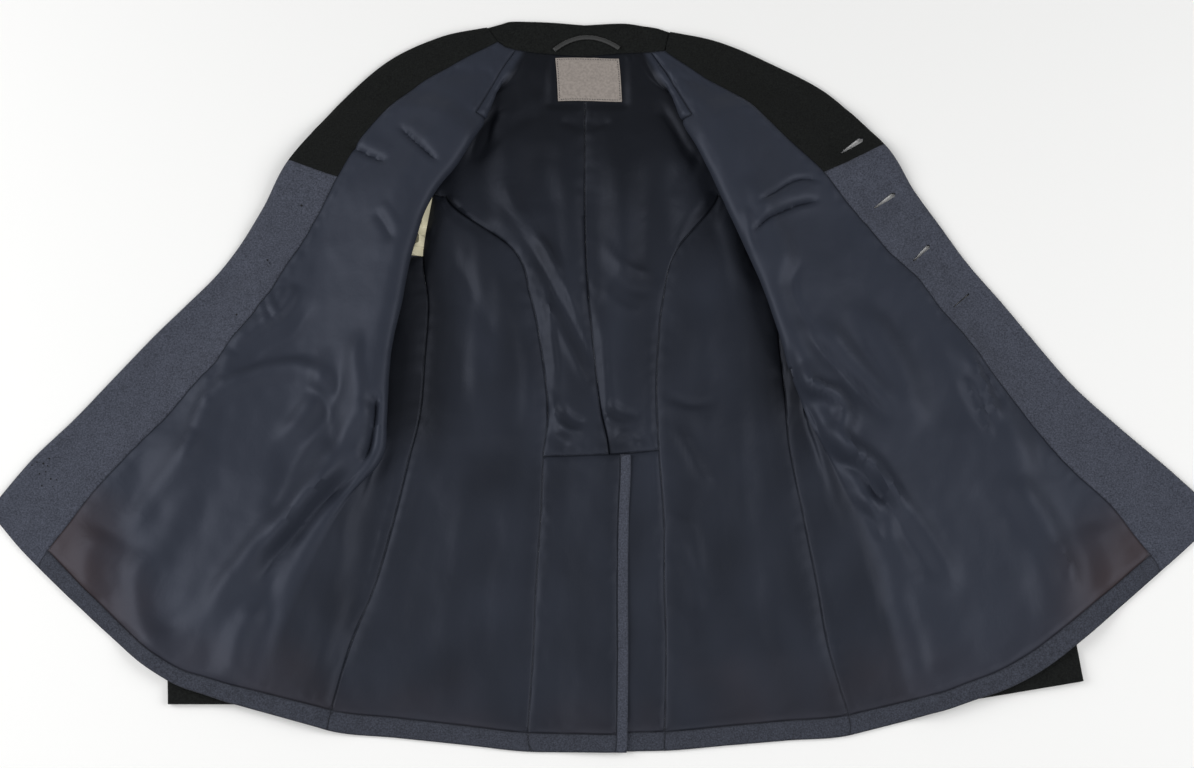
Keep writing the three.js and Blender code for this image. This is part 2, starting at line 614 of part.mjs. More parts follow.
// Domed buttons on the outside of the left front, face down under it, each on its shank
function addButtons() {
  const { radius, rim, height, rimHeight, shank } = BUTTON;
  const front = tunic.getObjectByName("front_left");
  BUTTONS.forEach(([x, y], i) => {
    const top = undersideOver(front, x, y, shank) - SEAM;
    const dome = [[0, 0], [rim * 0.6, 0.5], [rim, 1.5], [radius, rimHeight], [rim, height - 0.6]];
    const profile = [...dome, [shank, height], [shank, top], [0, top]];
    const lathe = new THREE.LatheGeometry(profile.map(([px, py]) => new THREE.Vector2(px, py)), 20);
    lathe.rotateX(Math.PI / 2);
    add(`button_${i + 1}`, lathe, METAL, 0.35, 1).position.set(x, y, 0);
  });
}

const wasm = await Module();
wasm.setup();

function solidOf(geometry) {
  const bare = new THREE.BufferGeometry();
  bare.setAttribute("position", geometry.getAttribute("position"));
  bare.setIndex(geometry.index);
  const merged = mergeVertices(bare, 1e-4);
  const triVerts = new Uint32Array(merged.index.array);
  const vertProperties = merged.attributes.position.array;
  return new wasm.Manifold(new wasm.Mesh({ numProp: 3, vertProperties, triVerts }));
}

// A round-ended slot that passes through the cloth
function slot({ from, to }) {
  const shape = new THREE.Shape();
  const radius = BUTTONHOLE.width / 2;
  const angle = Math.atan2(to[1] - from[1], to[0] - from[0]);
  shape.absarc(to[0], to[1], radius, angle - Math.PI / 2, angle + Math.PI / 2);
  shape.absarc(from[0], from[1], radius, angle + Math.PI / 2, angle + 1.5 * Math.PI);
  const shaping = { depth: BUTTONHOLE.deep, bevelEnabled: false, curveSegments: 4 };
  const cut = new THREE.ExtrudeGeometry(shape, shaping);
  cut.translate(0, 0, BUTTONHOLE.from);
  return solidOf(cut);
}

// Buttonholes pass through the right front and its facings
function cutButtonholes() {
  const slots = BUTTONHOLES.map(slot);
  for (const name of ["front_right", "lapel_facing_right", "front_facing_right"]) {
    const mesh = tunic.getObjectByName(name);
    const cut = slots.reduce((solid, hole) => solid.subtract(hole), solidOf(mesh.geometry)).getMesh();
    const geometry = new THREE.BufferGeometry();
    geometry.setAttribute("position", new THREE.Float32BufferAttribute(cut.vertProperties, 3));
    geometry.setIndex(Array.from(cut.triVerts));
    mesh.geometry = geometry;
  }
}

for (const half of [LEFT, RIGHT]) {
  const body = bodySurface(half);
  addSleeve(half, sleeveSurface(half, body));
  addBody(half, body);
}
addCollar();
addLabel();
addHangerLoop();
addButtons();
cutButtonholes();

export default tunic;
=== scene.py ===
"""An officer's dress tunic that lies open on its back, lining up, in metres in the frame's own axes."""

import math

import bpy
import numpy as np
from bpy.props import FloatProperty, FloatVectorProperty, PointerProperty
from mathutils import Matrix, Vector, noise


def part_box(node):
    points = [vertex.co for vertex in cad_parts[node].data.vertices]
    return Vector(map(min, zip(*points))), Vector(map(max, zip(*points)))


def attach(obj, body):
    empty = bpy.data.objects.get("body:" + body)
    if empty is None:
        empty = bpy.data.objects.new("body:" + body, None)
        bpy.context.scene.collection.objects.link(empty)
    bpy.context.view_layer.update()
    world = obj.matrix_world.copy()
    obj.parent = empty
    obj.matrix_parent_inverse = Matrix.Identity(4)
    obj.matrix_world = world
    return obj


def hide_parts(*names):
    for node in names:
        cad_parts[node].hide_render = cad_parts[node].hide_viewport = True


bl_info = {
    "name": "Dress tunic laid open",
    "version": (1, 0, 0),
    "blender": (4, 5, 0),
    "location": "3D View > Sidebar > Tunic",
    "description": "Builds a dress tunic that lies open with its lining up",
    "category": "Add Mesh",
}

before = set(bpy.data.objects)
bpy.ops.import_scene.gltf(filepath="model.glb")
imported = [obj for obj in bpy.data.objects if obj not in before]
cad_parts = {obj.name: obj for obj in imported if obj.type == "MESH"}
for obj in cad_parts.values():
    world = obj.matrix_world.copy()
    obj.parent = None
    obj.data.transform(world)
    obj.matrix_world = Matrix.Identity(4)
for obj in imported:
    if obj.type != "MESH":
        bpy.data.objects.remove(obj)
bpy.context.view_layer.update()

MM = 0.001

# Sizes in mm, as in the solids: the outline's middle, radii, lifts, and how the lapel's edge turns over
MIDDLE = (7, 15.3)
TURN_RADIUS = 2.4
ROLL_RADIUS = 7
RISE_SPREAD = 95
TUCK_START = 7
SLEEVE_HOLLOW = 3.6
ARMHOLE_HOLLOW = 2 * TURN_RADIUS
SLEEVE_LIFT = (8, 14, 28)
BUTTON_LIFT = (5.4, 15, 24)
LAPEL_OUT, LAPEL_DROP = 2.2, 3.5

# A row per section from the neck to the hem: x, y where it crosses the centre, princess seam, side seam,
# roll, chest, lining's edge and front edge
LEFT_PLAN = [
    [(-13, 341), (-40, 343), (-60, 345), (-74, 346), (-92, 351), (-100, 357), (-110, 371)],
    [(-12, 317), (-53, 318), (-78, 317), (-91, 314), (-122, 323), (-144, 330), (-161, 358)],
    [(-12, 275), (-85, 282), (-150, 268), (-112, 269), (-148, 288), (-184, 303), (-210, 332)],
    [(-12, 236), (-116, 239), (-159, 236), (-136, 223), (-180, 245), (-225, 260), (-259, 283)],
    [(-12, 196), (-149, 191), (-162, 193), (-163, 183), (-209, 195), (-255, 208), (-304, 226)],
    [(-11, 136), (-82, 136), (-170, 129), (-182, 122), (-230, 140), (-278, 157), (-327, 178)],
    [(-8, 84), (-65, 89), (-164, 80), (-190, 74), (-244, 96), (-300, 120), (-346, 144)],
    [(-3, 31), (-54, 35), (-166, 27), (-198, 21), (-258, 46), (-322, 82), (-370, 109)],
    [(3, -25), (-47, -27), (-169, -29), (-201, -35), (-274, -6), (-350, 43), (-401, 75)],
    [(11, -71), (-51, -72), (-178, -73), (-206, -81), (-287, -41), (-370, 14), (-427, 47)],
    [(9, -134), (-53, -134), (-191, -134), (-244, -119), (-316, -88), (-401, -21), (-463, 5)],
    [(8, -200), (-57, -200), (-207, -196), (-284, -176), (-350, -143), (-435, -58), (-498, -36)],
    [(8, -261), (-59, -261), (-228, -252), (-311, -228), (-382, -202), (-472, -102), (-534, -74)],
    [(7, -334), (-63, -332), (-243, -312), (-328, -292), (-405, -262), (-514, -163), (-562, -111)],
    [(6, -350), (-59, -349), (-246, -330), (-331, -308), (-409, -276), (-522, -179), (-572, -126)],
]
RIGHT_PLAN = [
    [(-13, 341), (18, 344), (36, 345), (46, 345), (61, 346), (68, 347), (73, 366)],
    [(-12, 317), (34, 315), (53, 314), (65, 311), (86, 315), (105, 317), (126, 352)],
    [(-12, 275), (63, 273), (113, 272), (86, 268), (117, 278), (147, 288), (176, 329)],
    [(-12, 236), (97, 232), (130, 228), (105, 224), (147, 236), (188, 248), (230, 297)],
    [(-12, 196), (120, 193), (141, 181), (124, 182), (175, 196), (223, 213), (285, 245)],
    [(-11, 136), (77, 134), (150, 133), (143, 136), (198, 152), (254, 171), (313, 196)],
    [(-8, 84), (64, 84), (172, 84), (161, 90), (218, 110), (280, 136), (336, 160)],
    [(-3, 31), (59, 38), (176, 36), (176, 44), (239, 72), (309, 107), (361, 121)],
    [(3, -25), (57, -12), (180, -11), (188, 1), (260, 29), (337, 67), (392, 81)],
    [(11, -71), (59, -66), (183, -62), (206, -45), (282, -13), (363, 32), (418, 46)],
    [(9, -134), (63, -130), (194, -129), (244, -109), (319, -73), (400, -23), (455, -2)],
    [(8, -200), (63, -196), (205, -194), (276, -170), (354, -131), (438, -72), (497, -44)],
    [(8, -261), (64, -257), (214, -254), (292, -228), (383, -193), (480, -116), (539, -83)],
    [(7, -332), (62, -331), (230, -316), (306, -300), (395, -262), (518, -167), (575, -119)],
    [(6, -349), (61, -348), (231, -334), (308, -316), (407, -277), (526, -183), (586, -131)],
]

# Strength of the side fold, depth of its tuck, its height, and what lies under the back and the edge
LEFT_FOLDS = [
    (0, 8, 0, 2.7, 3.6), (0, 14, 7, 2.7, 3.6), (1, 43, 20, 0, 3.6), (1, 34, 22, 0, 3.6),
    (1, 22, 22, 0, 3.6), (1, 15, 23, 0, 0), (1, 12, 23, 0, 0), (1, 13, 22, 0, 0), (1, 14, 20, 0, 0),
    (0.65, 14, 16, 0, 0), (0.3, 12, 11, 0, 0), (0.1, 10, 6, 0, 0), (0, 10, 3, 0, 0), (0, 10, 0, 0, 0),
    (0, 10, 0, 0, 0),
]
RIGHT_FOLDS = [
    (0, 8, 0, 2.7, 3.6), (0, 14, 7, 2.7, 3.6), (1, 38, 20, 0, 3.6), (1, 35, 22, 0, 3.6),
    (1, 29, 22, 0, 3.6), (1, 24, 22, 0, 0), (1, 20, 22, 0, 0), (1, 16, 20, 0, 0), (0.8, 14, 17, 0, 0),
    (0.45, 12, 13, 0, 0), (0.2, 10, 9, 0, 0), (0.08, 10, 5, 0, 0), (0, 10, 3, 0, 0), (0, 10, 0, 0, 0),
    (0, 10, 0, 0, 0),
]

# The free edge of each folded lapel, and the outer and inner edge of each ring of a sleeve
LEFT_LAPEL = [(-136, 330), (-163, 303), (-179, 286), (-243, 266), (-300, 226)]
RIGHT_LAPEL = [(100, 325), (125, 303), (150, 289), (209, 264), (282, 246)]
LEFT_SLEEVE = [
    ((-190, 264), (-205, 132)), ((-223, 250), (-216, 103)), ((-259, 202), (-218, 65)),
    ((-286, 139), (-220, 27)), ((-324, 75), (-227, -10)), ((-355, 4), (-235, -57)),
    ((-376, -67), (-246, -112)), ((-389, -139), (-256, -169)), ((-394, -210), (-265, -224)),
    ((-396, -257), (-269, -261)), ((-393, -306), (-270, -306)),
]
RIGHT_SLEEVE = [
    ((150, 262), (180, 158)), ((177, 248), (201, 108)), ((222, 207), (209, 68)),
    ((259, 153), (218, 30)), ((296, 98), (232, -10)), ((332, 34), (252, -59)),
    ((360, -30), (272, -115)), ((390, -98), (288, -168)), ((418, -173), (301, -215)),
    ((440, -236), (313, -261)), ((447, -285), (319, -306)),
]

# Collar stations: the neck's column, the roll at the top and the free edge beneath
LEFT_COLLAR = [
    (23, (-110, 371), (-134, 333)), (20, (-97, 375), (-115, 330)), (17, (-87, 378), (-98, 329)),
    (8, (-70, 378), (-77, 328)), (5, (-46, 377), (-50, 328)), (2, (-13, 374), (-13, 327)),
]
RIGHT_COLLAR = [
    (5, (25, 376), (28, 328)), (8, (47, 373), (58, 327)), (17, (59, 371), (75, 326)),
    (20, (65, 369), (85, 325)), (23, (73, 366), (97, 326)),
]
# Each buttonhole's inner and outer end, and how far it gapes at each
BUTTONHOLES = [
    ((242, 237), (262, 251), 1.8, 5.6), ((273, 179), (292, 193), 1.8, 4.8),
    ((309, 124), (324, 139), 1.6, 4.0), ((346, 77), (361, 90), 0.9, 1.6),
]
BUTTONS = [(-259, 233), (-288, 177), (-318, 121), (-347, 66)]

# Small holes and thread ends on the left facing: x, y and radius
MARKS = [
    (-534.5, -81.5, 0.9), (-518.9, -74.7, 1.0), (-524.2, -79.6, 1.1), (-520.3, -81.5, 0.8),
    (-527.3, -89.3, 0.9), (-521.8, -87.3, 0.8), (-516.5, -94.1, 1.1), (-510.8, -95.1, 0.8),
    (-524.5, -100.9, 1.0), (-514.0, -101.9, 0.7), (-530.0, -78.6, 0.7), (-289.3, 178.5, 1.3),
    (-320.2, 122.2, 1.2), (-318.1, 119.1, 0.8), (-347.7, 66.8, 1.2),
]
# The label's x from and to, y from and to
LABEL_SPOT = (-44, 26, 290, 345)

# Rows of the sections where pieces start or end, and columns of the seams and edges
SHOULDER, LAPEL_END, BREAK, UNDERARM, WAIST, HEM_TOP, HEM = 2, 3.5, 4, 5, 9, 13, 14
STRIP, CENTRE, PRINCESS, SIDE, ARMHOLE, CREST, CHEST, LINING, EDGE = 1, 2, 5, 8, 12, 17, 20, 23, 26

# How finely each stretch between two columns is divided, and each section of the tables
FINE_COLUMNS = [2, 3] + [7] * 3 + [10] * 3 + [3] * 9 + [6] * 3 + [8] * 3 + [5] * 3 + [3, 3, 4, 4]
FINE_ROWS = 20

# Lowest z of the middle of the cloth, of the lapel's leaf, and of a trough that a crease presses in
LOWEST, LEAF_LOWEST, TROUGH_LOWEST = 1.55, 1.45, 4.6
SMOOTH_ANGLE, BUTTON_SMOOTH_ANGLE = math.radians(50), math.radians(40)

# The lining's loose waves: height and size in mm, and the seed
WAVES = [(1.7, 52, 3.0), (1.0, 24, 7.0), (0.4, 11, 5.0)]
# The hem bands' grey is drawn darker than the rest of the shell cloth
HEM_SHADE = 0.72

# Each cloth's material and slot
CLOTHS = {
    "melange": ("melange worsted wool, woven", "melange_cloth"),
    "hem": ("melange worsted wool, soiled hem", "melange_cloth"),
    "black": ("milled wool facecloth, black", "black_cloth"),
    "satin": ("viscose satin, dark blue grey", "satin_lining"),
    "cream": ("cream satin", "cream_lining"),
    "label": ("woven label tape", "woven_label"),
    "braid": ("braided cord", "braid"),
    "gilt": ("gilt brass, pressed", "button_metal"),
}


class Half:
    """The tables of one half of the body."""

    def __init__(self, name, turn, plan, folds, lapel, sleeve, vent, buttons, collar):
        self.name, self.turn, self.vent, self.buttons, self.collar = name, turn, vent, buttons, collar
        self.plan, self.folds = np.array(plan, float), np.array(folds, float)
        self.lapel, self.sleeve = np.array(lapel, float), np.array(sleeve, float)


LEFT = Half("left", 1, LEFT_PLAN, LEFT_FOLDS, LEFT_LAPEL, LEFT_SLEEVE, (21, 11, 3.2), BUTTONS, LEFT_COLLAR)
RIGHT = Half("right", -1, RIGHT_PLAN, RIGHT_FOLDS, RIGHT_LAPEL, RIGHT_SLEEVE, (-14, -7, 0), [], RIGHT_COLLAR)


def smooth(t):
    """0 to 1 with soft ends."""
    t = np.clip(t, 0, 1)
    return t * t * (3 - 2 * t)


def unit(v):
    """Vectors of length one."""
    return v / np.maximum(np.linalg.norm(v, axis=-1, keepdims=True), 1e-9)


def curved(rows, v):
    """Values between rows of a table, on a smooth curve through them."""
    rows, v = np.asarray(rows, float), np.asarray(v, float)
    padded = np.concatenate([[2 * rows[0] - rows[1]], rows, [2 * rows[-1] - rows[-2]]])
    i = np.minimum(v.astype(int), len(rows) - 2)
    t = (v - i).reshape(v.shape + (1,) * (rows.ndim - 1))
    before, a, b, after = (padded[i + k] for k in range(4))
    start, end, rest = (b - before) / 2, (after - a) / 2, b - a
    return a + t * (start + t * (3 * rest - 2 * start - end + t * (start + end - 2 * rest)))


def eased(rows, v):
    """Values between rows of a table, eased so that nothing overshoots."""
    i = np.minimum(v.astype(int), len(rows) - 2)
    t = smooth(v - i)[:, None]
    return rows[i] * (1 - t) + rows[i + 1] * t


def mix(a, b, t):
    """Between a and b."""
    return a + (b - a) * t


def nearest(values, x):
    """The index of the value that is nearest to x."""
    return int(np.argmin(abs(values - x)))


def outside(rings, p):
    """How far plan points lie outside a chain of rings."""
    middles = rings.mean(axis=1)
    halves = np.linalg.norm(rings[:, 0] - rings[:, 1], axis=1) / 2
    best = np.full(p.shape[:-1], np.inf)
    for a, b, ra, rb in zip(middles, middles[1:], halves, halves[1:]):
        d = b - a
        t = np.clip(((p - a) @ d) / (d @ d), 0, 1)
        far = np.linalg.norm(p - a - t[..., None] * d, axis=-1)
        best = np.minimum(best, far - mix(ra, rb, t))
    return best


def lift_at(half, p):
    """How high the sleeve and the buttons under plan points lift the cloth."""
    height, margin, fall = SLEEVE_LIFT
    lift = height * smooth(1 - (outside(half.sleeve, p) - margin) / fall)
    height, margin, fall = BUTTON_LIFT
    for spot in half.buttons:
        far = np.linalg.norm(p - np.array(spot), axis=-1)
        lift = np.maximum(lift, height * smooth(1 - (far - margin) / fall))
    return lift


def sections(half, v):
    """The points of sections of a half, from the vent's edge to the lapel's free edge."""
    plan = curved(half.plan, v)
    centre, princess, side, roll, chest, lining, edge = (plan[:, k] for k in range(7))
    fold, tuck, rise, under, stack = eased(half.folds, v).T
    starting = (v > 1) & (v < SHOULDER)
    tuck = np.where(starting, mix(TUCK_START, tuck, smooth((v - 1.4) / 0.6)), tuck)
    floor = 1.5 + under
    points = []

    def put(p, z):
        points.append(np.concatenate([p, np.broadcast_to(z, len(v))[:, None]], axis=1))

    vent = half.vent[2] * smooth((v - (WAIST - 2)) / 2)
    for far in (half.vent[0], half.vent[1], 0):
        put(centre + np.array([far, 0]), floor + vent)
    for t in (1 / 3, 2 / 3, 1):
        put(mix(centre, princess, t), floor + vent * np.clip(1.95 - 3.9 * t, 0, 1))
    for t in (1 / 3, 2 / 3, 1):
        p = mix(princess, side, t)
        put(p, floor + lift_at(half, p) * (1 - fold) * (t > 0.5))

    out = unit(chest - roll)
    crest = roll + out * 1.2 * ROLL_RADIUS
    r, big = TURN_RADIUS, ROLL_RADIUS
    shape = [
        ((tuck - r) / 2, 0), (tuck - r, 0), (tuck, r), (tuck - r, 2 * r),
        ((tuck - r + big) / 2, (rise - 2 * big + 2 * r) / 2), (big, rise - 2 * big),
        (0, rise - big), (0.3 * big, rise - 0.3 * big), (1.2 * big, rise),
    ]
    for j, (d, h) in enumerate(shape):
        t = (j + 1) / len(shape)
        bent = roll + out * (d + np.zeros(len(v)))[:, None]
        if j == 0:
            bent = (side + roll + out * 2 * d[:, None]) / 2
        p = mix(mix(side, crest, t), bent, fold[:, None])
        lifted = mix(1, np.clip((j - 3) / 2, 0, 1), fold)
        put(p, floor + mix(rise * smooth(t), h, fold) + lift_at(half, p) * lifted)

    front = np.stack([crest, chest, lining, edge])
    for k in range(1, 10):
        i = min(k // 3, 2)
        straight = mix(front[i], front[i + 1], k / 3 - i)
        p = mix(straight, curved(front, np.array([k / 3]))[0], np.clip(v, 0, 1)[:, None])
        far = np.linalg.norm(p - roll, axis=1)
        laid = mix(under, stack, min(k / 2, 1))
        put(p, 1.5 + laid + lift_at(half, p) + rise * (1 - smooth((far - big) / RISE_SPREAD)))

    last = points[EDGE][:, 2]
    over = unit(edge - lining)
    leaf = curved(half.lapel, np.minimum(v, len(half.lapel) - 1))
    low = 1.5 + stack - LAPEL_DROP
    put(edge + over * (LAPEL_OUT * smooth((LAPEL_END - v) / 0.6))[:, None], last - LAPEL_DROP / 2)
    put(edge, last - LAPEL_DROP)
    put((edge + leaf) / 2, (last - LAPEL_DROP + low) / 2)
    put(leaf, low)
    return np.stack(points, axis=1)


def refined(points, us):
    """More points on smooth curves along each row of a grid."""
    step = points[:, 1:] - points[:, :-1]
    size = np.maximum(np.linalg.norm(step, axis=2, keepdims=True), 0.05)
    slope = step / size
    before, after = size[:, :-1], size[:, 1:]
    inner = (slope[:, :-1] * after + slope[:, 1:] * before) / (before + after)
    tangent = np.concatenate([slope[:, :1], inner, slope[:, -1:]], axis=1)
    k = np.minimum(us.astype(int), points.shape[1] - 2)
    t = (us - k)[None, :, None]
    a, b, span = points[:, k], points[:, k + 1], size[:, k]
    start, end = tangent[:, k] * span, tangent[:, k + 1] * span
    return a + t * (start + t * (3 * (b - a) - 2 * start - end + t * (start + end - 2 * (b - a))))


def divided(counts):
    """Column numbers with each stretch divided into its count of steps."""
    return np.concatenate([k + np.arange(n) / n for k, n in enumerate(counts)] + [[len(counts)]])


class Surface:
    """A grid of points, the cells of it that exist, and the direction to the lining's side."""

    def __init__(self, grid, turn, exists, closed=False):
        self.grid, self.turn, self.exists, self.closed = grid, turn, exists, closed
        self.find_normals()

    def find_normals(self):
        """Sets the normals from the cells round each point."""
        g = np.concatenate([self.grid, self.grid[:1]]) if self.closed else self.grid
        falling, rising = g[1:, 1:] - g[:-1, :-1], g[1:, :-1] - g[:-1, 1:]
        cell = unit(np.cross(falling, rising)) * self.exists[..., None]
        total = np.zeros(g.shape)
        for r in (0, 1):
            for c in (0, 1):
                total[r : r + cell.shape[0], c : c + cell.shape[1]] += cell
        if self.closed:
            total[0] += total[-1]
            total = total[:-1]
        self.normals = unit(total) * self.turn


def shifted(mask, closed):
    """The four cells round each point of a grid: before and after it, by row and by column."""
    rows = mask.shape[0] + (0 if closed else 1)
    out = []
    for dr in (1, 0):
        for dc in (1, 0):
            m = np.zeros((rows, mask.shape[1] + 1), bool)
            block = np.roll(mask, dr, axis=0) if closed else mask
            first, last = (0, rows) if closed else (dr, dr + mask.shape[0])
            m[first:last, dc : dc + mask.shape[1]] = block
            out.append(m)
    return out


def wall(surface, keep, low, high, inset=0.1, soften=0.0):
    """Points and faces of a wall over the cells that keep marks, from one height to another.
    soften lowers the top where the piece ends, as a seam draws cloth in."""
    inside = surface.exists & keep
    grid, closed = surface.grid, surface.closed
    rows = grid.shape[0]
    a, b, d, e = shifted(inside, closed)
    right, left = (b & ~a) | (e & ~d), (a & ~b) | (d & ~e)
    down, up = (d & ~a) | (e & ~b), (a & ~d) | (b & ~e)
    move = np.zeros(grid.shape)
    after_c = np.concatenate([grid[:, 1:], grid[:, -1:]], axis=1)
    before_c = np.concatenate([grid[:, :1], grid[:, :-1]], axis=1)
    after_r = np.roll(grid, -1, axis=0) if closed else np.concatenate([grid[1:], grid[-1:]])
    before_r = np.roll(grid, 1, axis=0) if closed else np.concatenate([grid[:1], grid[:-1]])
    flags = (right & ~left, left & ~right, down & ~up, up & ~down)
    for flag, target in zip(flags, (after_c, before_c, after_r, before_r)):
        move += unit(target - grid) * inset * flag[..., None]
    used = a | b | d | e
    ends = used & ~(a & b & d & e)
    near = ends.copy()
    for axis in (0, 1):
        for way in (1, -1):
            near |= np.roll(ends, way, axis=axis)
    top = high - soften * ends - 0.3 * soften * (near & ~ends)
    number = np.full(grid.shape[:2], -1)
    count = int(used.sum())
    number[used] = np.arange(count)
    base = grid + move
    top_points = (base + surface.normals * np.asarray(top)[..., None])[used]
    low_points = (base + surface.normals * (np.asarray(low) + np.zeros(grid.shape[:2]))[..., None])[used]
    r, c = np.nonzero(inside)
    r2 = (r + 1) % rows
    corners = [number[r, c], number[r, c + 1], number[r2, c + 1], number[r2, c]]
    quads = np.stack(corners, axis=1)
    faces = [quads, quads[:, ::-1] + count]
    for dr, dc, p, q in ((-1, 0, 0, 1), (0, 1, 1, 2), (1, 0, 2, 3), (0, -1, 3, 0)):
        rr, cc = r + dr, c + dc
        if closed:
            rr = rr % inside.shape[0]
        ok = (rr >= 0) & (rr < inside.shape[0]) & (cc >= 0) & (cc < inside.shape[1])
        neighbour = np.zeros(len(r), bool)
        neighbour[ok] = inside[rr[ok], cc[ok]]
        rim = ~neighbour
        x, y = corners[p][rim], corners[q][rim]
        faces.append(np.stack([y, x, x + count, y + count], axis=1))
    faces = np.concatenate(faces)
    if surface.turn < 0:
        faces = faces[:, ::-1]
    return np.concatenate([top_points, low_points]), faces, used


def pick_only(*pieces):
    """Selects these objects alone, or nothing, and makes the first one active."""
    for other in bpy.context.selected_objects:
        other.select_set(False)
    for piece in pieces:
        piece.select_set(True)
    if pieces:
        bpy.context.view_layer.objects.active = pieces[0]


def placed(points):
    """Points in metres in the row's frame, from points in mm in the tables' frame."""
    return (np.asarray(points) - np.array([*MIDDLE, 0])) * MM


def linked(name, points, faces, look):
    """A new mesh object of one material, from points in mm in the tables' frame."""
    mesh = bpy.data.meshes.new(name)
    mesh.from_pydata(placed(points).tolist(), [], faces)
    piece = bpy.data.objects.new(name, mesh)
    bpy.context.collection.objects.link(piece)
    mesh.materials.append(look)
    return piece


def finished(piece, node, key):
    """Puts a piece in its node's place and hides the node; the cloth's key is not used."""
    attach(piece, "root")
    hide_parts(node)
    return piece


def cloth_piece(node, points, faces, key, values=None):
    """A cloth piece in its node's place, with the values of each of its points."""
    piece = linked(node + "_cloth", points, faces.tolist(), material(key))
    for name, numbers in (values or {}).items():
        made = piece.data.attributes.new(name, "FLOAT", "POINT")
        made.data.foreach_set("value", np.asarray(numbers, np.float32))
    piece.data.validate()
    pick_only(piece)
    bpy.ops.object.shade_smooth_by_angle(angle=SMOOTH_ANGLE)
    return finished(piece, node, key)


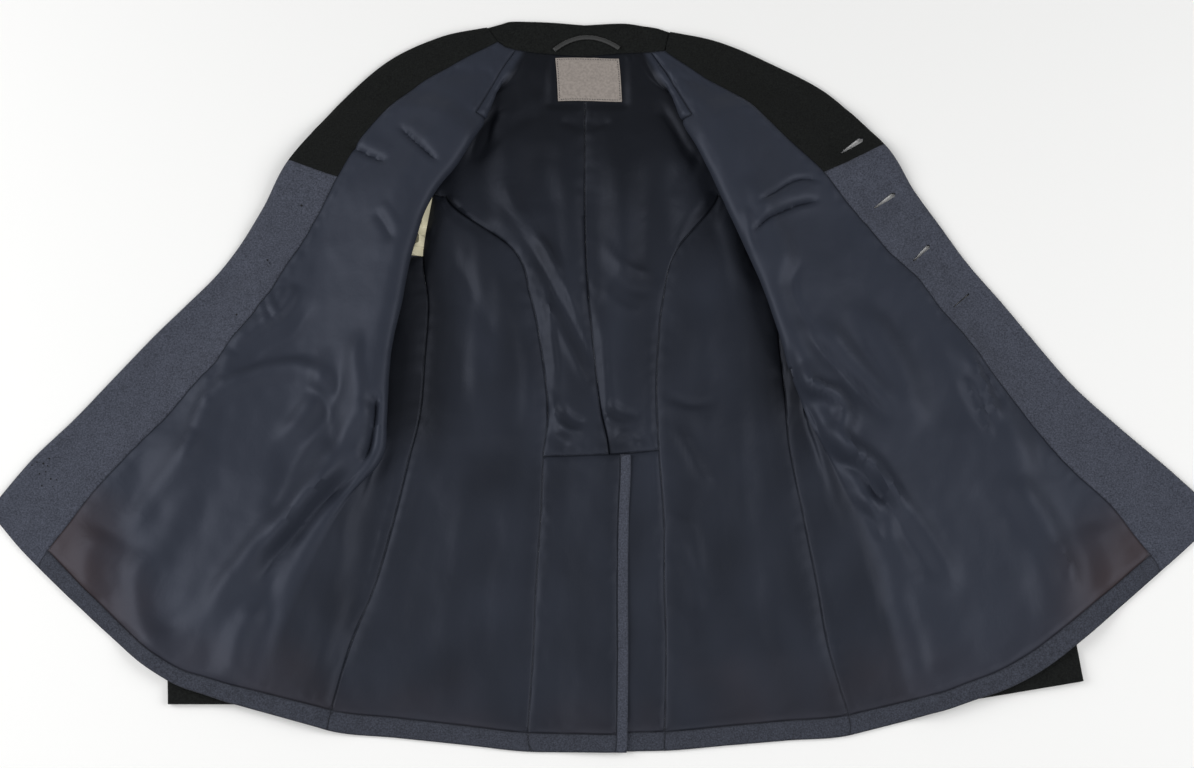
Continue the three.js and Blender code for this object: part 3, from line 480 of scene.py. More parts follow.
# Creases of each half and layer, in mm: half width, height before CREASE_DEPTH (a trough's is negative),
# how much wider it is on its right than on its left, and the x, y of points along it
CREASES = {
    ("left", "front"): [
        (11, -5, 0.3, [(-211, -15), (-212, -46), (-218, -73), (-232, -98), (-258, -127), (-283, -155),
         (-317, -193)]),
        (15, 4.5, -0.2, [(-233, -19), (-238, -59), (-262, -97), (-292, -134), (-323, -170), (-350, -211),
         (-369, -248)]),
        (9, -4, 0.2, [(-208, -89), (-222, -130), (-240, -174), (-252, -211), (-253, -257)]),
        (8, -2.6, 0.3, [(-241, 18), (-246, -19), (-264, -51), (-280, -73), (-298, -109)]),
        (9, 2.4, 0, [(-256, 35), (-266, -11), (-286, -44), (-311, -70)]),
        (7, 1.6, 0.4, [(-283, 97), (-306, 66), (-329, 51), (-354, 29)]),
        (7, -1.4, 0, [(-270, 82), (-295, 45), (-321, 29), (-341, 3)]),
        (12, 2.6, 0, [(-373, -47), (-394, -81), (-421, -115), (-439, -158)]),
        (13, -3, 0, [(-345, -86), (-369, -125), (-390, -168), (-396, -219)]),
        (15, 3.4, 0.2, [(-419, -158), (-427, -200), (-417, -238), (-394, -266)]),
        (12, -2.8, 0, [(-449, -153), (-456, -191), (-440, -228)]),
        (13, 3, 0, [(-311, -210), (-330, -252), (-331, -293)]),
        (10, -2.4, 0, [(-286, -201), (-297, -247), (-291, -293)]),
        (6, -1.0, -0.4, [(-123, 339), (-115, 312), (-112, 276), (-122, 249)]),
        (10, 3.2, 0.2, [(-387, -87), (-381, -48), (-363, -13), (-330, 5), (-288, 13), (-263, 1),
         (-247, -24)]),
        (8, -3.0, 0.2, [(-283, -4), (-266, -13), (-255, -31), (-249, -59), (-252, -80)]),
        (13, -3.6, 0, [(-282, -43), (-292, -73), (-293, -109), (-300, -145)]),
        (8, 2.6, 0.2, [(-226, 50), (-229, 18), (-224, -16), (-228, -44), (-244, -71)]),
        (3.5, 1.2, 0.3, [(-329, 91), (-323, 75), (-315, 52)]),
        (3.5, 1.2, 0.3, [(-319, 91), (-314, 77), (-305, 60)]),
        (3.5, 1.1, 0.3, [(-290, 97), (-298, 81), (-309, 60)]),
        (3.5, 1.1, 0.3, [(-304, 97), (-307, 83), (-314, 67)]),
        (3.5, 1.1, 0.3, [(-345, 31), (-354, 14), (-359, -9)]),
        (3.5, 1.1, 0.3, [(-369, 10), (-372, -9), (-369, -29)]),
        (3.5, 1.2, 0.2, [(-381, -47), (-386, -63), (-391, -82)]),
        (4, -1.3, 0.3, [(-216, 169), (-204, 152), (-194, 131)]),
        (4, 0.7, 0.3, [(-210, 177), (-198, 160), (-189, 142)]),
        (2.7, -2.8, 0, [(-249, 244), (-236, 237), (-221, 228), (-203, 218)]),
        (9, 0.8, 0, [(-244, 254), (-228, 245), (-212, 235), (-198, 224)]),
        (2.7, -2.6, 0, [(-197, 262), (-184, 247), (-168, 229), (-152, 213)]),
        (9, 0.7, 0, [(-187, 264), (-175, 249), (-161, 234)]),
        (16, -3.6, 0, [(-404, -172), (-406, -210), (-389, -247)]),
        (18, 3.6, 0, [(-457, -144), (-472, -172), (-465, -210)]),
        (14, 3.2, 0.2, [(-250, -145), (-265, -192), (-274, -239)]),
        (12, -3, 0, [(-271, -135), (-291, -173), (-310, -215)]),
        (4.5, -6, 0.3, [(-208, -13), (-210, -41), (-214, -65), (-223, -85)]),
        (6, 3, 0, [(-215, -21), (-217, -48), (-223, -70), (-232, -87)]),
        (6, -4.5, 0.3, [(-227, -88), (-243, -104), (-261, -123), (-279, -146), (-300, -172), (-319, -202)]),
        (7, 3.4, 0, [(-236, -81), (-255, -100), (-274, -121), (-292, -144), (-311, -170)]),
    ],
    ("right", "front"): [
        (5, -5, 0.3, [(183, 35), (187, 8), (193, -18), (204, -35), (212, -58), (220, -96)]),
        (7, 3.4, 0.2, [(194, 0), (214, -16), (227, -32), (232, -57), (246, -80), (268, -102), (292, -136)]),
        (7, -3, 0.3, [(192, 50), (214, 28), (236, 3), (258, -19), (280, -47)]),
        (10, 3, 0, [(207, 59), (235, 30), (262, -4), (292, -39)]),
        (6, -2, 0.2, [(206, -85), (221, -98), (238, -116), (246, -137)]),
        (6, 1.8, 0, [(222, -79), (239, -95), (253, -116), (263, -145)]),
        (8, -2.4, 0, [(255, -115), (277, -139), (300, -173), (309, -201)]),
        (9, 2.2, 0, [(280, -115), (303, -144), (324, -180), (332, -210)]),
        (13, 3, 0, [(381, -86), (412, -125), (434, -172), (446, -219)]),
        (12, -3, 0, [(357, -96), (386, -139), (408, -186), (417, -233)]),
        (13, 2.6, 0, [(459, -134), (475, -172), (477, -210)]),
        (14, -3, 0, [(287, -191), (304, -233), (315, -284)]),
        (13, 2.6, 0, [(254, -201), (269, -247), (278, -293)]),
        (6, -1.0, 0.4, [(100, 325), (89, 301), (86, 279), (98, 244), (113, 217)]),
        (8, -1.8, 0.4, [(197, 120), (187, 91), (195, 63), (216, 35)]),
        (2.7, -3.4, 0, [(147, 141), (167, 159), (192, 175), (221, 185)]),
        (10, 1.0, 0, [(147, 157), (169, 174), (195, 186), (221, 197)]),
        (4, 1.2, 0.2, [(142, 171), (147, 154), (149, 135), (156, 119)]),
        (2.7, -2.4, 0, [(152, 169), (170, 184), (192, 201), (211, 205), (225, 201)]),
        (15, 3.4, 0, [(245, 82), (272, 42), (294, -8), (304, -58)]),
        (16, -3.4, 0, [(274, 92), (306, 52), (333, -3), (342, -58)]),
        (16, 3.2, 0, [(341, 53), (372, 2), (393, -47), (401, -96)]),
        (14, -3, 0, [(421, -57), (445, -96), (463, -134)]),
        (16, 3.2, 0, [(217, -191), (234, -238), (243, -284)]),
        (12, 2.6, 0, [(145, 205), (169, 153), (187, 91)]),
        (7, -5, 0.3, [(186, 29), (189, 1), (199, -17), (215, -22), (225, -32), (226, -54)]),
        (9, 4.6, 0.2, [(194, 17), (199, -5), (212, -13), (227, -18), (236, -36), (237, -60)]),
        (7.5, -5, 0.3, [(196, -49), (212, -65), (227, -81), (249, -88), (264, -109), (281, -136)]),
        (10, 4.6, 0.2, [(204, -44), (222, -57), (239, -71), (261, -86), (277, -109), (294, -136)]),
        (7, -3.5, 0.3, [(219, -117), (239, -128), (257, -138), (267, -162)]),
        (6, 2.6, 0.2, [(226, -107), (247, -117), (269, -128), (281, -155)]),
        (4.4, 2.4, 0.3, [(355, 26), (367, 2), (375, -22), (383, -47)]),
        (4.4, 2.2, 0.3, [(348, 10), (358, -14), (366, -37), (377, -63)]),
        (4.4, -2.2, 0.3, [(362, 30), (376, 0), (388, -30)]),
        (3.6, 1.6, 0.3, [(432, -153), (436, -172), (440, -201)]),
    ],
    ("left", "back"): [
        (5, -1.8, 0, [(-36, 273), (-25, 268), (-13, 266)]),
        (7, -1.2, 0.3, [(-52, 282), (-75, 269), (-98, 250), (-116, 232)]),
        (9, 1.3, 0, [(-49, 299), (-77, 286), (-102, 271)]),
        (5, 1.6, 0.5, [(-96, 222), (-84, 192), (-76, 165), (-58, 123)]),
        (9, -1.0, 0, [(-48, 220), (-40, 167), (-36, 105), (-30, 54)]),
        (10, 1.0, 0, [(-64, 209), (-56, 156), (-46, 84)]),
        (5, -1.8, 0.3, [(-45, -52), (-35, -56), (-28, -65)]),
        (6, 1.6, 0, [(-39, -41), (-26, -48), (-14, -60)]),
        (9, 1.3, 0, [(-115, 156), (-116, 94), (-118, 33), (-121, -27)]),
        (8, -1.2, 0.2, [(-139, 146), (-141, 84), (-141, 23), (-149, -47)]),
        (8, -1.1, 0, [(-89, 115), (-82, 53), (-79, -7), (-83, -66)]),
        (9, 1.0, 0, [(-70, 53), (-64, 3), (-66, -56)]),
        (10, 1.2, 0, [(-120, -86), (-127, -144), (-137, -210), (-144, -275)]),
        (9, -1.1, 0, [(-96, -95), (-100, -153), (-105, -219), (-108, -284)]),
        (9, -1.1, 0, [(-160, -86), (-166, -134), (-181, -200), (-191, -256)]),
        (8, 1.0, 0, [(-178, -56), (-181, -105), (-196, -153), (-209, -200)]),
        (6, 1.4, 0.3, [(-193, 84), (-180, 43), (-172, 3)]),
        (20, 2.8, 0, [(-77, 284), (-91, 241), (-86, 188), (-75, 136)]),
        (16, -2.2, 0, [(-109, 284), (-118, 241), (-110, 198), (-95, 156)]),
        (18, 2.5, 0, [(-22, 230), (-27, 167), (-24, 105), (-18, 54)]),
        (16, -2.2, 0, [(-52, 252), (-54, 209), (-50, 167)]),
        (14, -1.8, 0, [(-120, 135), (-127, 84), (-130, 23), (-133, -37)]),
        (5, 2.0, 0.2, [(-148, 195), (-133, 180), (-121, 161)]),
        (5, 1.8, 0, [(-60, 150), (-44, 129), (-34, 105)]),
        (6, -2.4, 0, [(-97, 290), (-107, 271), (-116, 245), (-126, 224)]),
        (4.5, 2, 0.3, [(-89, 202), (-67, 164), (-46, 128), (-26, 86), (-13, 54)]),
        (4, -2.4, 0.2, [(-96, 192), (-75, 154), (-54, 119), (-36, 80), (-22, 48)]),
        (4, 2, 0.3, [(-50, 110), (-45, 62), (-40, 18), (-39, -9)]),
        (4, -2.2, 0.3, [(-37, 106), (-24, 62), (-8, 27), (0, 5)]),
        (4.5, 2, 0.2, [(-57, 94), (-36, 54), (-18, 17), (-7, -9)]),
        (4, 2.2, 0.3, [(-42, -8), (-38, -36), (-26, -48), (-10, -46)]),
        (4, -2.2, 0.3, [(-35, -21), (-24, -34), (-9, -40)]),
        (12, 1.7, 0.2, [(-131, 172), (-112, 133), (-92, 92), (-67, 47)]),
        (11, -1.7, 0.2, [(-146, 148), (-131, 108), (-113, 70), (-93, 31)]),
    ],
    ("right", "back"): [
        (5, -1.8, 0, [(-13, 266), (1, 267), (15, 272)]),
        (9, 1.1, 0, [(11, 241), (23, 188), (24, 125), (17, 74)]),
        (10, -1.2, 0, [(43, 220), (54, 172), (57, 125), (51, 84)]),
        (6, 1.8, 0.4, [(-1, 84), (6, 33), (9, -17), (14, -56)]),
        (5, -1.6, 0, [(-5, 74), (-1, 23), (3, -26), (7, -61)]),
        (5, 1.8, 0.5, [(14, -48), (27, -50), (38, -57), (44, -65)]),
        (5, -1.5, 0.3, [(14, -61), (31, -56), (52, -52)]),
        (7, 1.3, 0.5, [(63, -128), (78, -133), (90, -141), (96, -162), (96, -191)]),
        (6, -1.8, 0, [(67, -153), (80, -168), (89, -191), (96, -228)]),
        (7, 1.0, 0.3, [(70, -210), (86, -230), (99, -261)]),
        (8, -1.0, 0, [(98, -76), (108, -114), (111, -172), (116, -228)]),
        (9, 1.2, 0, [(132, 3), (134, -56), (137, -114), (145, -172)]),
        (8, -1.2, 0.2, [(150, 54), (154, -7), (157, -66), (165, -124)]),
        (8, -1.1, 0, [(101, 188), (117, 146), (127, 94), (130, 44)]),
        (9, 1.1, 0, [(123, 177), (138, 136), (147, 84)]),
        (9, 1.1, 0, [(181, -134), (189, -191), (199, -247), (205, -293)]),
        (9, -1.1, 0, [(157, -153), (163, -210), (169, -266)]),
        (18, 2.5, 0, [(21, 252), (28, 198), (30, 146), (27, 84)]),
        (18, -2.8, 0, [(53, 241), (58, 188), (54, 136), (42, 94)]),
        (14, 2.2, 0, [(82, 241), (92, 198), (91, 156)]),
        (12, -1.7, 0, [(-2, 209), (1, 156), (3, 94)]),
        (14, 1.9, 0, [(100, 84), (103, 33), (104, -27), (109, -76)]),
        (5, 2.0, 0.2, [(117, 198), (101, 182), (85, 161), (73, 136)]),
        (5, -1.8, 0, [(102, 241), (92, 213), (74, 188)]),
        (6, -2.4, 0, [(58, 295), (71, 273), (86, 245), (96, 224)]),
        (4, 2, 0.3, [(-1, -1), (3, -26), (18, -40), (35, -42)]),
        (4, -2.2, 0.3, [(9, -17), (24, -28), (43, -32)]),
        (4.5, -1.6, 0.3, [(64, -7), (76, -16), (91, -21), (104, -20), (114, -11)]),
        (6, 1.2, 0.3, [(64, -19), (83, -28), (104, -28)]),
        (6, 2.6, 0.3, [(74, -41), (88, -66), (101, -91), (114, -105)]),
        (5, 1.3, 0.3, [(5, 150), (15, 129), (32, 115), (56, 111)]),
        (5, -1.2, 0.3, [(15, 109), (32, 94), (55, 90)]),
        (5, 1.1, 0.3, [(7, 99), (20, 80), (42, 68)]),
    ],
    ("left", "sleeve"): [
        (3.6, 7.5, 0.3, [(-162, 193), (-163, 178), (-166, 162), (-168, 153)]),
        (3.6, 7.5, 0.3, [(-173, 160), (-170, 170), (-166, 180), (-163, 189)]),
        (3.2, -4.5, 0, [(-169, 165), (-168, 160), (-168, 153)]),
        (3.2, -7.5, 0.2, [(-174, 157), (-171, 156), (-169, 151), (-166, 148)]),
        (4.0, 9.0, 0.3, [(-176, 146), (-172, 147), (-170, 143), (-167, 138)]),
        (3.6, -6.0, 0, [(-179, 137), (-175, 137), (-171, 134)]),
    ],
}

# How many times deeper than its stated height a crease of each layer is drawn
CREASE_DEPTH = {"front": 1.9, "back": 1.3, "sleeve": 1.5}


def crease_heights(half, layer, grid):
    """How far the ridges of a layer rise and its troughs sink at each point of a grid."""
    rise, sink = np.zeros(grid.shape[:2]), np.zeros(grid.shape[:2])
    for width, height, lean, path in CREASES[half.name, layer]:
        line = curved(path, np.linspace(0, len(path) - 1, 6 * (len(path) - 1) + 1))
        low, high = line.min(axis=0) - 3 * width, line.max(axis=0) + 3 * width
        p = grid[..., :2]
        close = ((p > low) & (p < high)).all(axis=-1)
        q = p[close]
        if not len(q):
            continue
        best = np.full(len(q), np.inf)
        side_of, share = np.zeros(len(q)), np.zeros(len(q))
        lengths = np.linalg.norm(np.diff(line, axis=0), axis=1)
        starts = np.concatenate([[0], np.cumsum(lengths)])
        for i, (a, b) in enumerate(zip(line, line[1:])):
            d = b - a
            t = np.clip(((q - a) @ d) / (d @ d), 0, 1)
            away = q - a - t[:, None] * d
            far = np.linalg.norm(away, axis=1)
            nearer = far < best
            best[nearer] = far[nearer]
            side_of[nearer] = np.sign(d[0] * away[:, 1] - d[1] * away[:, 0])[nearer]
            share[nearer] = ((starts[i] + t * lengths[i]) / starts[-1])[nearer]
        spread = width * np.where(side_of < 0, 1 + lean, 1 - lean)
        ends = smooth(share / 0.25) * smooth((1 - share) / 0.25)
        into = rise if height > 0 else sink
        into[close] += CREASE_DEPTH[layer] * abs(height) * np.exp(-((best / spread) ** 2)) * ends
    return rise, sink


def ripple(grid, size, seed):
    """Soft uneven ripples between -1 and 1 over a grid, longer down the cloth than across it."""
    out = np.empty(grid.shape[:2])
    flat = grid.reshape(-1, 3)
    numbers = [noise.noise(Vector((x / size, y / (1.8 * size), seed))) for x, y, _ in flat]
    out[:] = np.array(numbers).reshape(grid.shape[:2])
    return out


def edge_distance(surface, keep):
    """How far each point of a grid is from the edge of the cells that keep marks, up to 30 mm."""
    inside = surface.exists & keep
    a, b, d, e = shifted(inside, surface.closed)
    far = np.where(a & b & d & e, 30.0, 0.0)
    across = np.linalg.norm(np.diff(surface.grid, axis=1), axis=2)
    down = np.linalg.norm(np.diff(surface.grid, axis=0), axis=2)
    for _ in range(2):
        for c in range(1, far.shape[1]):
            far[:, c] = np.minimum(far[:, c], far[:, c - 1] + across[:, c - 1])
        for c in range(far.shape[1] - 2, -1, -1):
            far[:, c] = np.minimum(far[:, c], far[:, c + 1] + across[:, c])
        for r in range(1, far.shape[0]):
            far[r] = np.minimum(far[r], far[r - 1] + down[r - 1])
        for r in range(far.shape[0] - 2, -1, -1):
            far[r] = np.minimum(far[r], far[r + 1] + down[r])
    return far


BODIES = {}


def body(half):
    """The fine surface of one half of the body, with its rows and columns, made once."""
    if half.name in BODIES:
        return BODIES[half.name]
    v = np.linspace(0, HEM, HEM * FINE_ROWS + 1)
    u = divided(FINE_COLUMNS)
    grid = refined(sections(half, v), u)
    row, column = (v[1:] + v[:-1])[:, None] / 2, (u[1:] + u[:-1])[None, :] / 2
    exists = np.ones((len(v) - 1, len(u) - 1), bool)
    exists &= (column < EDGE) | (row < LAPEL_END)
    exists &= (column > CENTRE) | (row > WAIST)
    exists &= ~((row > SHOULDER) & (row < UNDERARM) & (column > SIDE) & (column < ARMHOLE))
    on_front = smooth((u - 14) / 3)[None, :] * smooth((EDGE - u) / 1.5)[None, :]
    rise, sink = crease_heights(half, "front", grid)
    room = np.maximum(grid[..., 2] + rise * on_front - TROUGH_LOWEST, 0.01)
    grid[..., 2] += rise * on_front - room * (1 - np.exp(-sink * on_front / room))
    soften_fold_start(grid, v, u)
    wave_lining_edge(half, grid, v, u)
    if half is RIGHT:
        lay_buttonholes_down(grid)
    grid[..., 2] = np.maximum(grid[..., 2], np.where(u > EDGE, LEAF_LOWEST, LOWEST)[None, :])
    surface = Surface(grid, half.turn, exists)
    BODIES[half.name] = (surface, row, column, v, u)
    return BODIES[half.name]


def soften_fold_start(grid, v, u):
    """Eases the place below the neck where each side fold starts."""
    part = smooth((v - 0.9) / 0.4) * smooth((1.95 - v) / 0.3)
    weight = part[:, None] * (smooth((u - 4) / 2) * smooth((20 - u) / 2))[None, :]
    for _ in range(60):
        blurred = grid.copy()
        blurred[1:-1] = (grid[:-2] + grid[1:-1] + grid[2:]) / 3
        grid += (blurred - grid) * weight[..., None]


def wave_lining_edge(half, grid, v, u):
    """The seam between lining and facing wanders by 1 or 2 mm, because the lining is loose."""
    slow = [1.6 * noise.noise(Vector((1.1 * x, 9 * half.turn, 0.5))) for x in v]
    quick = [0.5 * noise.noise(Vector((4.1 * x, 3.0, 0.5))) for x in v]
    past, before = nearest(u, LINING + 1.4), nearest(u, LINING - 1.25)
    across = unit(grid[:, past] - grid[:, before])[:, :2]
    weight = np.clip(1 - abs(u - LINING) / 1.6, 0, 1)
    amount = (np.array(slow) + np.array(quick)) * smooth(v - LAPEL_END) * smooth((13.2 - v) / 0.6)
    grid[..., :2] += across[:, None, :] * amount[:, None, None] * weight[None, :, None]


def lay_buttonholes_down(grid):
    """The right front lies almost on the table round its buttonholes."""
    for start, end, _, _ in BUTTONHOLES:
        a, b = np.array(start, float), np.array(end, float)
        d = b - a
        t = np.clip(((grid[..., :2] - a) @ d) / (d @ d), 0, 1)
        far = np.linalg.norm(grid[..., :2] - a - t[..., None] * d, axis=-1)
        spare = np.maximum(grid[..., 2] - 1.8, 0) * (grid[..., 2] > 3)
        grid[..., 2] -= 0.85 * spare * np.exp(-((far / 13) ** 2))


def is_back(v, c):
    """Cells of the centre back."""
    return (c < PRINCESS) | ((v < BREAK) & (c < SIDE)) | ((v < SHOULDER) & (c < CREST))


def is_side(v, c):
    """Cells of the side back."""
    return (v > BREAK) & (c > PRINCESS) & (c < SIDE)


def is_front(v, c):
    """Cells of the front."""
    start = np.where(v < SHOULDER, CREST, np.where(v < UNDERARM, ARMHOLE, SIDE))
    return c > start


def linear(text):
    """An sRGB hex colour as linear red, green, blue and alpha."""
    channels = [int(text[i : i + 2], 16) / 255 for i in (1, 3, 5)]
    return [c / 12.92 if c <= 0.04045 else ((c + 0.055) / 1.055) ** 2.4 for c in channels] + [1.0]


# A Mix node's colour sockets share their names with others, so they go by number
MIX_A, MIX_B, MIX_RESULT = 6, 7, 2


def feed(tree, slot, value):
    """Links a socket into an input, or sets the input to a value."""
    if isinstance(value, bpy.types.NodeSocket):
        tree.links.new(value, slot)
    else:
        slot.default_value = value


def add_node(tree, kind, **settings):
    """Adds a shader node and sets its properties and inputs by name. An input's value may be a socket."""
    node = tree.nodes.new(kind)
    for key, value in settings.items():
        if hasattr(node, key):
            setattr(node, key, value)
        else:
            feed(tree, node.inputs[key.replace("_", " ")], value)
    return node


def noise_of(tree, place, scale, **settings):
    """The value of a noise texture."""
    return add_node(tree, "ShaderNodeTexNoise", Vector=place, Scale=scale, **settings).outputs["Fac"]


def bump_of(tree, height, strength, distance, **settings):
    """The normal of a bump."""
    node = add_node(tree, "ShaderNodeBump", Height=height, Strength=strength, Distance=distance, **settings)
    return node.outputs["Normal"]


def attribute(tree, name):
    """The value of one of a mesh's attributes."""
    return add_node(tree, "ShaderNodeAttribute", attribute_name=name).outputs["Fac"]


def maths(tree, operation, *values, kind="ShaderNodeMath", output="Value"):
    """The result of a maths node, whose values are sockets or numbers."""
    node = add_node(tree, kind, operation=operation)
    for slot, value in zip(node.inputs, values):
        feed(tree, slot, value)
    return node.outputs[output]


def eased_range(tree, value, low, high, start=0.0):
    """Goes softly from start to 1 while a value goes from low to high."""
    return add_node(
        tree, "ShaderNodeMapRange", interpolation_type="SMOOTHSTEP", Value=value,
        From_Min=low, From_Max=high, To_Min=start,
    ).outputs["Result"]


def blended(tree, factor, a, b, blend="MIX"):
    """A blend of two colours, each a socket or a value."""
    node = add_node(tree, "ShaderNodeMix", data_type="RGBA", blend_type=blend, Factor=factor)
    feed(tree, node.inputs[MIX_A], a)
    feed(tree, node.inputs[MIX_B], b)
    return node.outputs[MIX_RESULT]


def ramp_of(tree, value, *stops):
    """The colour of a ramp between two stops, each a position and a colour."""
    node = add_node(tree, "ShaderNodeValToRGB", Fac=value)
    for element, (position, colour) in zip(list(node.color_ramp.elements), stops):
        element.position, element.color = position, colour
    return node.outputs["Color"]


def principled(name, **inputs):
    """A material, its tree and its Principled shader, with the shader's inputs by name."""
    made = bpy.data.materials.new(name)
    made.use_nodes = True
    shader = made.node_tree.nodes["Principled BSDF"]
    for key, value in inputs.items():
        shader.inputs[key.replace("_", " ")].default_value = value
    return made, made.node_tree, shader


def cloth(name, roughness, sheen, coarse, specular=0.5):
    """A material with a Principled shader for cloth, and its tree, shader and coordinates."""
    made, tree, shader = principled(
        name, Roughness=roughness, Sheen_Weight=sheen, Sheen_Roughness=coarse, Specular_IOR_Level=specular
    )
    return made, tree, shader, add_node(tree, "ShaderNodeTexCoord").outputs["Object"]


def sewn(tree, shader, colour, normal, dark):
    """Draws the cloth in within 2 mm of a piece's edge, and paints shade on it within 1 mm, where cloths
    meet.
    """
    edge = attribute(tree, "edge")
    normal = bump_of(tree, eased_range(tree, edge, 0.0, 1.8), 0.7, 0.0008, Normal=normal)
    # Painted shade along seams and edges
    near = eased_range(tree, edge, 0.1, 0.9, dark)
    feed(tree, shader.inputs["Base Color"], blended(tree, 1.0, colour, near, "MULTIPLY"))
    feed(tree, shader.inputs["Normal"], normal)


def spotted(tree, colour, place, marks):
    """A colour with small dark spots of given x, y and radius in mm."""
    vector = {"kind": "ShaderNodeVectorMath"}
    flat = maths(tree, "MULTIPLY", place, (1, 1, 0), output="Vector", **vector)
    closest = None
    for x, y, radius in marks:
        far = maths(tree, "DISTANCE", flat, tuple(placed((x, y, 0))), **vector)
        scaled = maths(tree, "DIVIDE", far, radius * MM)
        closest = scaled if closest is None else maths(tree, "MINIMUM", closest, scaled)
    return blended(tree, eased_range(tree, closest, 0.6, 1.1), (0.006, 0.006, 0.007, 1), colour)


def melange_wool(name, dark, light, marks=()):
    """Woven worsted of mixed grey fibres: short light and dark flecks, and a matt face."""
    made, tree, shader, place = cloth(name, 0.9, 0.05, 0.5, 0.25)
    # A real thread is 0.3 mm wide: flecks are drawn at 1.5 mm, the finest that a render shows
    fleck = noise_of(tree, place, 650.0, Detail=3.0, Roughness=0.75)
    cloud = noise_of(tree, place, 90.0, Detail=3.0)
    both = add_node(tree, "ShaderNodeMix", A=fleck, B=cloud, Factor=0.12).outputs["Result"]
    colour = ramp_of(tree, both, (0.36, dark), (0.66, light))
    if marks:
        colour = spotted(tree, colour, place, marks)
    sewn(tree, shader, colour, bump_of(tree, fleck, 0.35, 0.0006), 0.6)
    return made


def black_facecloth(name, dark, bloom):
    """Milled black wool with a short nap: nearly black, with a faint soft bloom."""
    made, tree, shader, place = cloth(name, 0.95, 0.02, 0.4, 0.12)
    nap = noise_of(tree, place, 700.0, Detail=4.0)
    feed(tree, shader.inputs["Base Color"], ramp_of(tree, nap, (0.3, dark), (0.75, bloom)))
    feed(tree, shader.inputs["Normal"], bump_of(tree, nap, 0.12, 0.0004))
    return made


def satin(name, new, painted_shade_colour, aged):
    """Satin-woven viscose: floats in one direction give wide soft highlights on every fold."""
    made, tree, shader, place = cloth(name, 0.5, 0.0, 0.35, 0.36)
    shader.inputs["Specular Tint"].default_value = linear("#c4cade")
    # Painted light and shade: the attribute blends the lining's lit colour with its darker painted shade
    # colour
    colour = blended(tree, attribute(tree, "fade"), painted_shade_colour, new)
    cloud = noise_of(tree, place, 9.0, Detail=2.0)
    stained = maths(tree, "MULTIPLY_ADD", cloud, 0.5, attribute(tree, "age"))
    colour = blended(tree, eased_range(tree, stained, 0.35, 0.96), colour, aged)
    # Threads run down the cloth; drawn 0.8 mm apart instead of 0.1 mm so that they show
    long = add_node(tree, "ShaderNodeMapping", Vector=place, Scale=(1.0, 0.06, 1.0)).outputs["Vector"]
    fine = bump_of(tree, noise_of(tree, long, 900.0, Detail=2.0), 0.06, 0.0005)
    small = noise_of(tree, place, 42.0, Detail=3.0, Distortion=0.6)
    sewn(tree, shader, colour, bump_of(tree, small, 0.12, 0.004, Normal=fine), 0.5)
    return made


def plain_cloth(name, colour, roughness, scale):
    """A plain cloth or braid with a visible thread."""
    made, tree, shader, place = cloth(name, roughness, 0.2, 0.4)
    shader.inputs["Base Color"].default_value = colour
    thread = noise_of(tree, place, scale, Detail=2.0)
    feed(tree, shader.inputs["Normal"], bump_of(tree, thread, 0.4, 0.0006))
    return made


def label_cloth(name, dark, colour, light):
    """Woven label tape: a faint rib, uneven greying and small stitches along its edge."""
    made = plain_cloth(name, colour, 0.85, 900.0)
    tree = made.node_tree
    place = tree.nodes["Texture Coordinate"].outputs["Object"]
    ground = ramp_of(tree, noise_of(tree, place, 420.0, Detail=4.0), (0.3, dark), (0.62, light))
    # Stitches 1.4 mm long every 2.4 mm lie 1.8 mm inside the edge
    near = maths(tree, "COMPARE", attribute(tree, "edge"), 1.8, 0.35)
    split = add_node(tree, "ShaderNodeSeparateXYZ", Vector=place)
    along = maths(tree, "ADD", split.outputs["X"], split.outputs["Y"])
    dash = maths(tree, "GREATER_THAN", maths(tree, "PINGPONG", along, 0.0012), 0.0005)
    stitched = blended(tree, maths(tree, "MULTIPLY", near, dash), ground, (0.02, 0.02, 0.025, 1.0))
    feed(tree, tree.nodes["Principled BSDF"].inputs["Base Color"], stitched)
    return made


def material(key):
    """The material of one of the tunic's cloths, made when it is first asked for."""
    name = CLOTHS[key][0]
    if name in bpy.data.materials:
        return bpy.data.materials[name]

    def shade(colour, strength=1.0):
        return [strength * c for c in getattr(bpy.context.scene.tunic_colours, colour)] + [1.0]

    if key == "melange":
        return melange_wool(name, shade("melange_dark"), shade("melange_light"), MARKS)
    if key == "hem":
        return melange_wool(name, shade("melange_dark", HEM_SHADE), shade("melange_light", HEM_SHADE))
    if key == "black":
        return black_facecloth(name, shade("black"), shade("black_bloom"))
    if key == "satin":
        return satin(name, shade("satin"), shade("satin_painted_shade"), shade("satin_aged"))
    if key == "label":
        return label_cloth(name, shade("label", 0.82), shade("label"), shade("label", 1.08))
    if key == "gilt":
        # A warm mirror with soft edges
        return principled(name, Base_Color=shade("gilt"), Metallic=1.0, Roughness=0.28)[0]
    roughness, scale = {"cream": (0.45, 300.0), "braid": (0.6, 900.0)}[key]
    return plain_cloth(name, shade(key), roughness, scale)


def hex_colour(label, text, words):
    """A colour property with its default given as sRGB hex."""
    return FloatVectorProperty(
        name=label, description=words, subtype="COLOR", size=3, min=0, max=1, default=linear(text)[:3]
    )


def length(label, size, words):
    """A length property with its default in metres."""
    return FloatProperty(name=label, description=words, default=size, unit="LENGTH")


